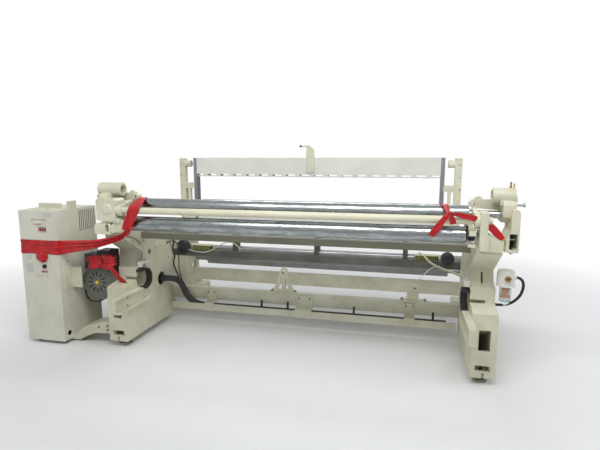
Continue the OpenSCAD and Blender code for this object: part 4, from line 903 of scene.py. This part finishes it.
# Black half bushes under the journals of the lower roller
y, z = LOWER_ROLLER
down = [math.radians(180 + 180 * k / 18) for k in range(19)]
cup = [(y + 35 * math.cos(a), z + 1 + 35 * math.sin(a)) for a in down]
cup += [(y + 20.6 * math.cos(a), z + 20.6 * math.sin(a)) for a in reversed(down)]
plate("journal_bush_right", "x", 1197, 1234, cup, rubber_black, 0.8)
plate("journal_bush_left", "x", -1217, -1195, cup, rubber_black, 0.8)
plate("tube_stop_right", "x", 1178, 1188.4, rect(-14, 1012, 16, 1040), rubber_black, 2)
for tag, x, r in (("left", -1168, 60), ("right", 1150, 52)):
    turned("round_box_" + tag, "y", (x, 655), [(815.7, r), (786, r), (780, r - 8), (779, r - 22), (774, r - 24),
           (773, r - 34)], plastic_black)
DOOR_FACE = -65.05
for name, front, outline in (("name_place", -65.8, rect(-1874, 1011, -1790, 1045)),
                             ("note_place_upper", -65.7, rect(-2052, 676, -2006, 710)),
                             ("note_place_lower", -65.7, rect(-2056, 572, -1996, 648))):
    plate(name, "y", front, DOOR_FACE, outline, label_blank, 0, "door")
for tag, x, finish in (("first", -1908, plastic_red), ("second", -1891, plastic_red), ("third", -1868, plastic_black)):
    turned("small_button_" + tag, "y", (x, 588), [(-70.9, 6.5), (-75, 6.5), (-76.5, 5.4), (-77, 3)], finish, 20,
           body="door")

# Jet valves: ribbed stems in two rows, each row under its bar and in front of a dark backing
RIB_PITCH, STEM_PITCH, STEM_Y = 4.2, 16, 830
stem = [(620.4, 3.0)]
for k in range(10):
    stem += [(z + k * RIB_PITCH, r) for z, r in ((621.6, 4.4), (623.6, 4.4), (624.6, 3.2), (624.8, 3.2))]
stem += [(663.9, 3.0)]
stems = joined(lathe("z", (x0 + k * STEM_PITCH, STEM_Y), stem, 8) for x0 in (-1085, 905) for k in range(11))
settle(smooth_piece("valve_stems", stems, valve_plastic), "loom", "valve_banks")
for tag, x0 in (("left", -1090), ("right", 900)):
    plate("valve_bar_" + tag, "z", 664, 676, rect(x0 - 12, 820, x0 + 188, 854), cream_tube, 1.5)
    plate("valve_backing_" + tag, "z", 620.3, 664, rect(x0 - 6, 842, x0 + 182, 855.5), plastic_black, 1.5)

# Fine dents of the reed
DENTS, DENT_PITCH = 566, 0.004
settle(grown("reed_dents", bar_row, {"Count": DENTS, "Start": mm(-1130, 1231, 1003.5), "Step": (DENT_PITCH, 0, 0),
             "Bar Size": (0.0007, 0.006, 0.07), "Finish": ground_steel}), "sley")

# SCREWS AND CAPS

for s in (-1, 1):
    tag = "right" if s > 0 else "left"
    out, into = ("+x", "-x") if s > 0 else ("-x", "+x")
    screws("rail_bolts_" + tag, into, [(s * 1234.5, y, z) for y, z in ((-7, 409), (-10, 350), (218, 350))],
           0.0078, 0.009, 0.005)
    screws("frame_bolts_" + tag, out, [(s * OUTER_WALL, y, z) for y, z in ((752, 215), (752, 280), (1402, 205),
           (1402, 275), (1444, 205), (1444, 275), (1520, 930), (1590, 930))], 0.011, 0.010, 0.006, 6)
    screws("guide_screws_" + tag, "-y", [(s * x, 916, z) for x in (1155, 1224) for z in (806, 842)], 0.007, 0.006)
    screws("guide_post_screws_" + tag, "-y", [(s * 1228, 922, z) for z in (905, 1000, 1200, 1300, 1400)], 0.005,
           0.004)
    caps = [(1530, 772, 44), (1434, 710, 22), (1450, 400, 40)] + ([(1235, 560, 48)] if s > 0 else [])
    for k, (y, z, r) in enumerate(caps):
        turned("bearing_cap_%s_%d" % (tag, k + 1), "x", (y, z), [(s * (OUTER_WALL + d), r - less) for d, less in (
               (0, 0), (5, 0), (7, 2), (7.5, 7), (6, 9))], cream_tube)
    screws("cap_screws_" + tag, out, [(s * (OUTER_WALL + 7), y + (r - 5) * math.cos(a), z + (r - 5) * math.sin(a))
           for y, z, r in caps for a in (0.5, 2.6, 4.7)], 0.0036, 0.003, 0.002, 12)
screws("pillar_bolts", "+z", [(x, y, 310) for x in (-305, -104, 803, 987) for y in (730, 764)], 0.010, 0.009, 0.005, 6)
screws("stay_bracket_bolts", "-y", [(x + d, 708, 268) for x, w in ((-862, 84), (-8, 140), (866, 84))
       for d in (-w / 3, w / 3)], 0.0085, 0.008, 0.005, 6)
screws("drive_cover_screws", "-x", [(-1697, y, z) for y, z in ((820, 150), (850, 115), (1080, 115), (1310, 115),
       (1355, 180), (1355, 400), (1355, 610), (1226, 764), (1030, 764), (850, 764), (820, 730), (815, 440))],
       0.008, 0.007, 0.005)
screws("cabinet_back_screws", "+y", [(x, 387, z) for x in (-2078, -1925, -1772) for z in (48, 400, 720, 1040)],
       0.006, 0.004, 0.002)
screws("door_plate_screws", "-y", [(x, -71, z) for x in (-1965, -1863) for z in (562, 658)], 0.0032, 0.002, 0.0012,
       body="door")
screws("foot_plate_bolts", "-y", [(-1440, 30, 150), (-1440, 30, 118), (-1520, 30, 136)], 0.009, 0.008, 0.005, 6)
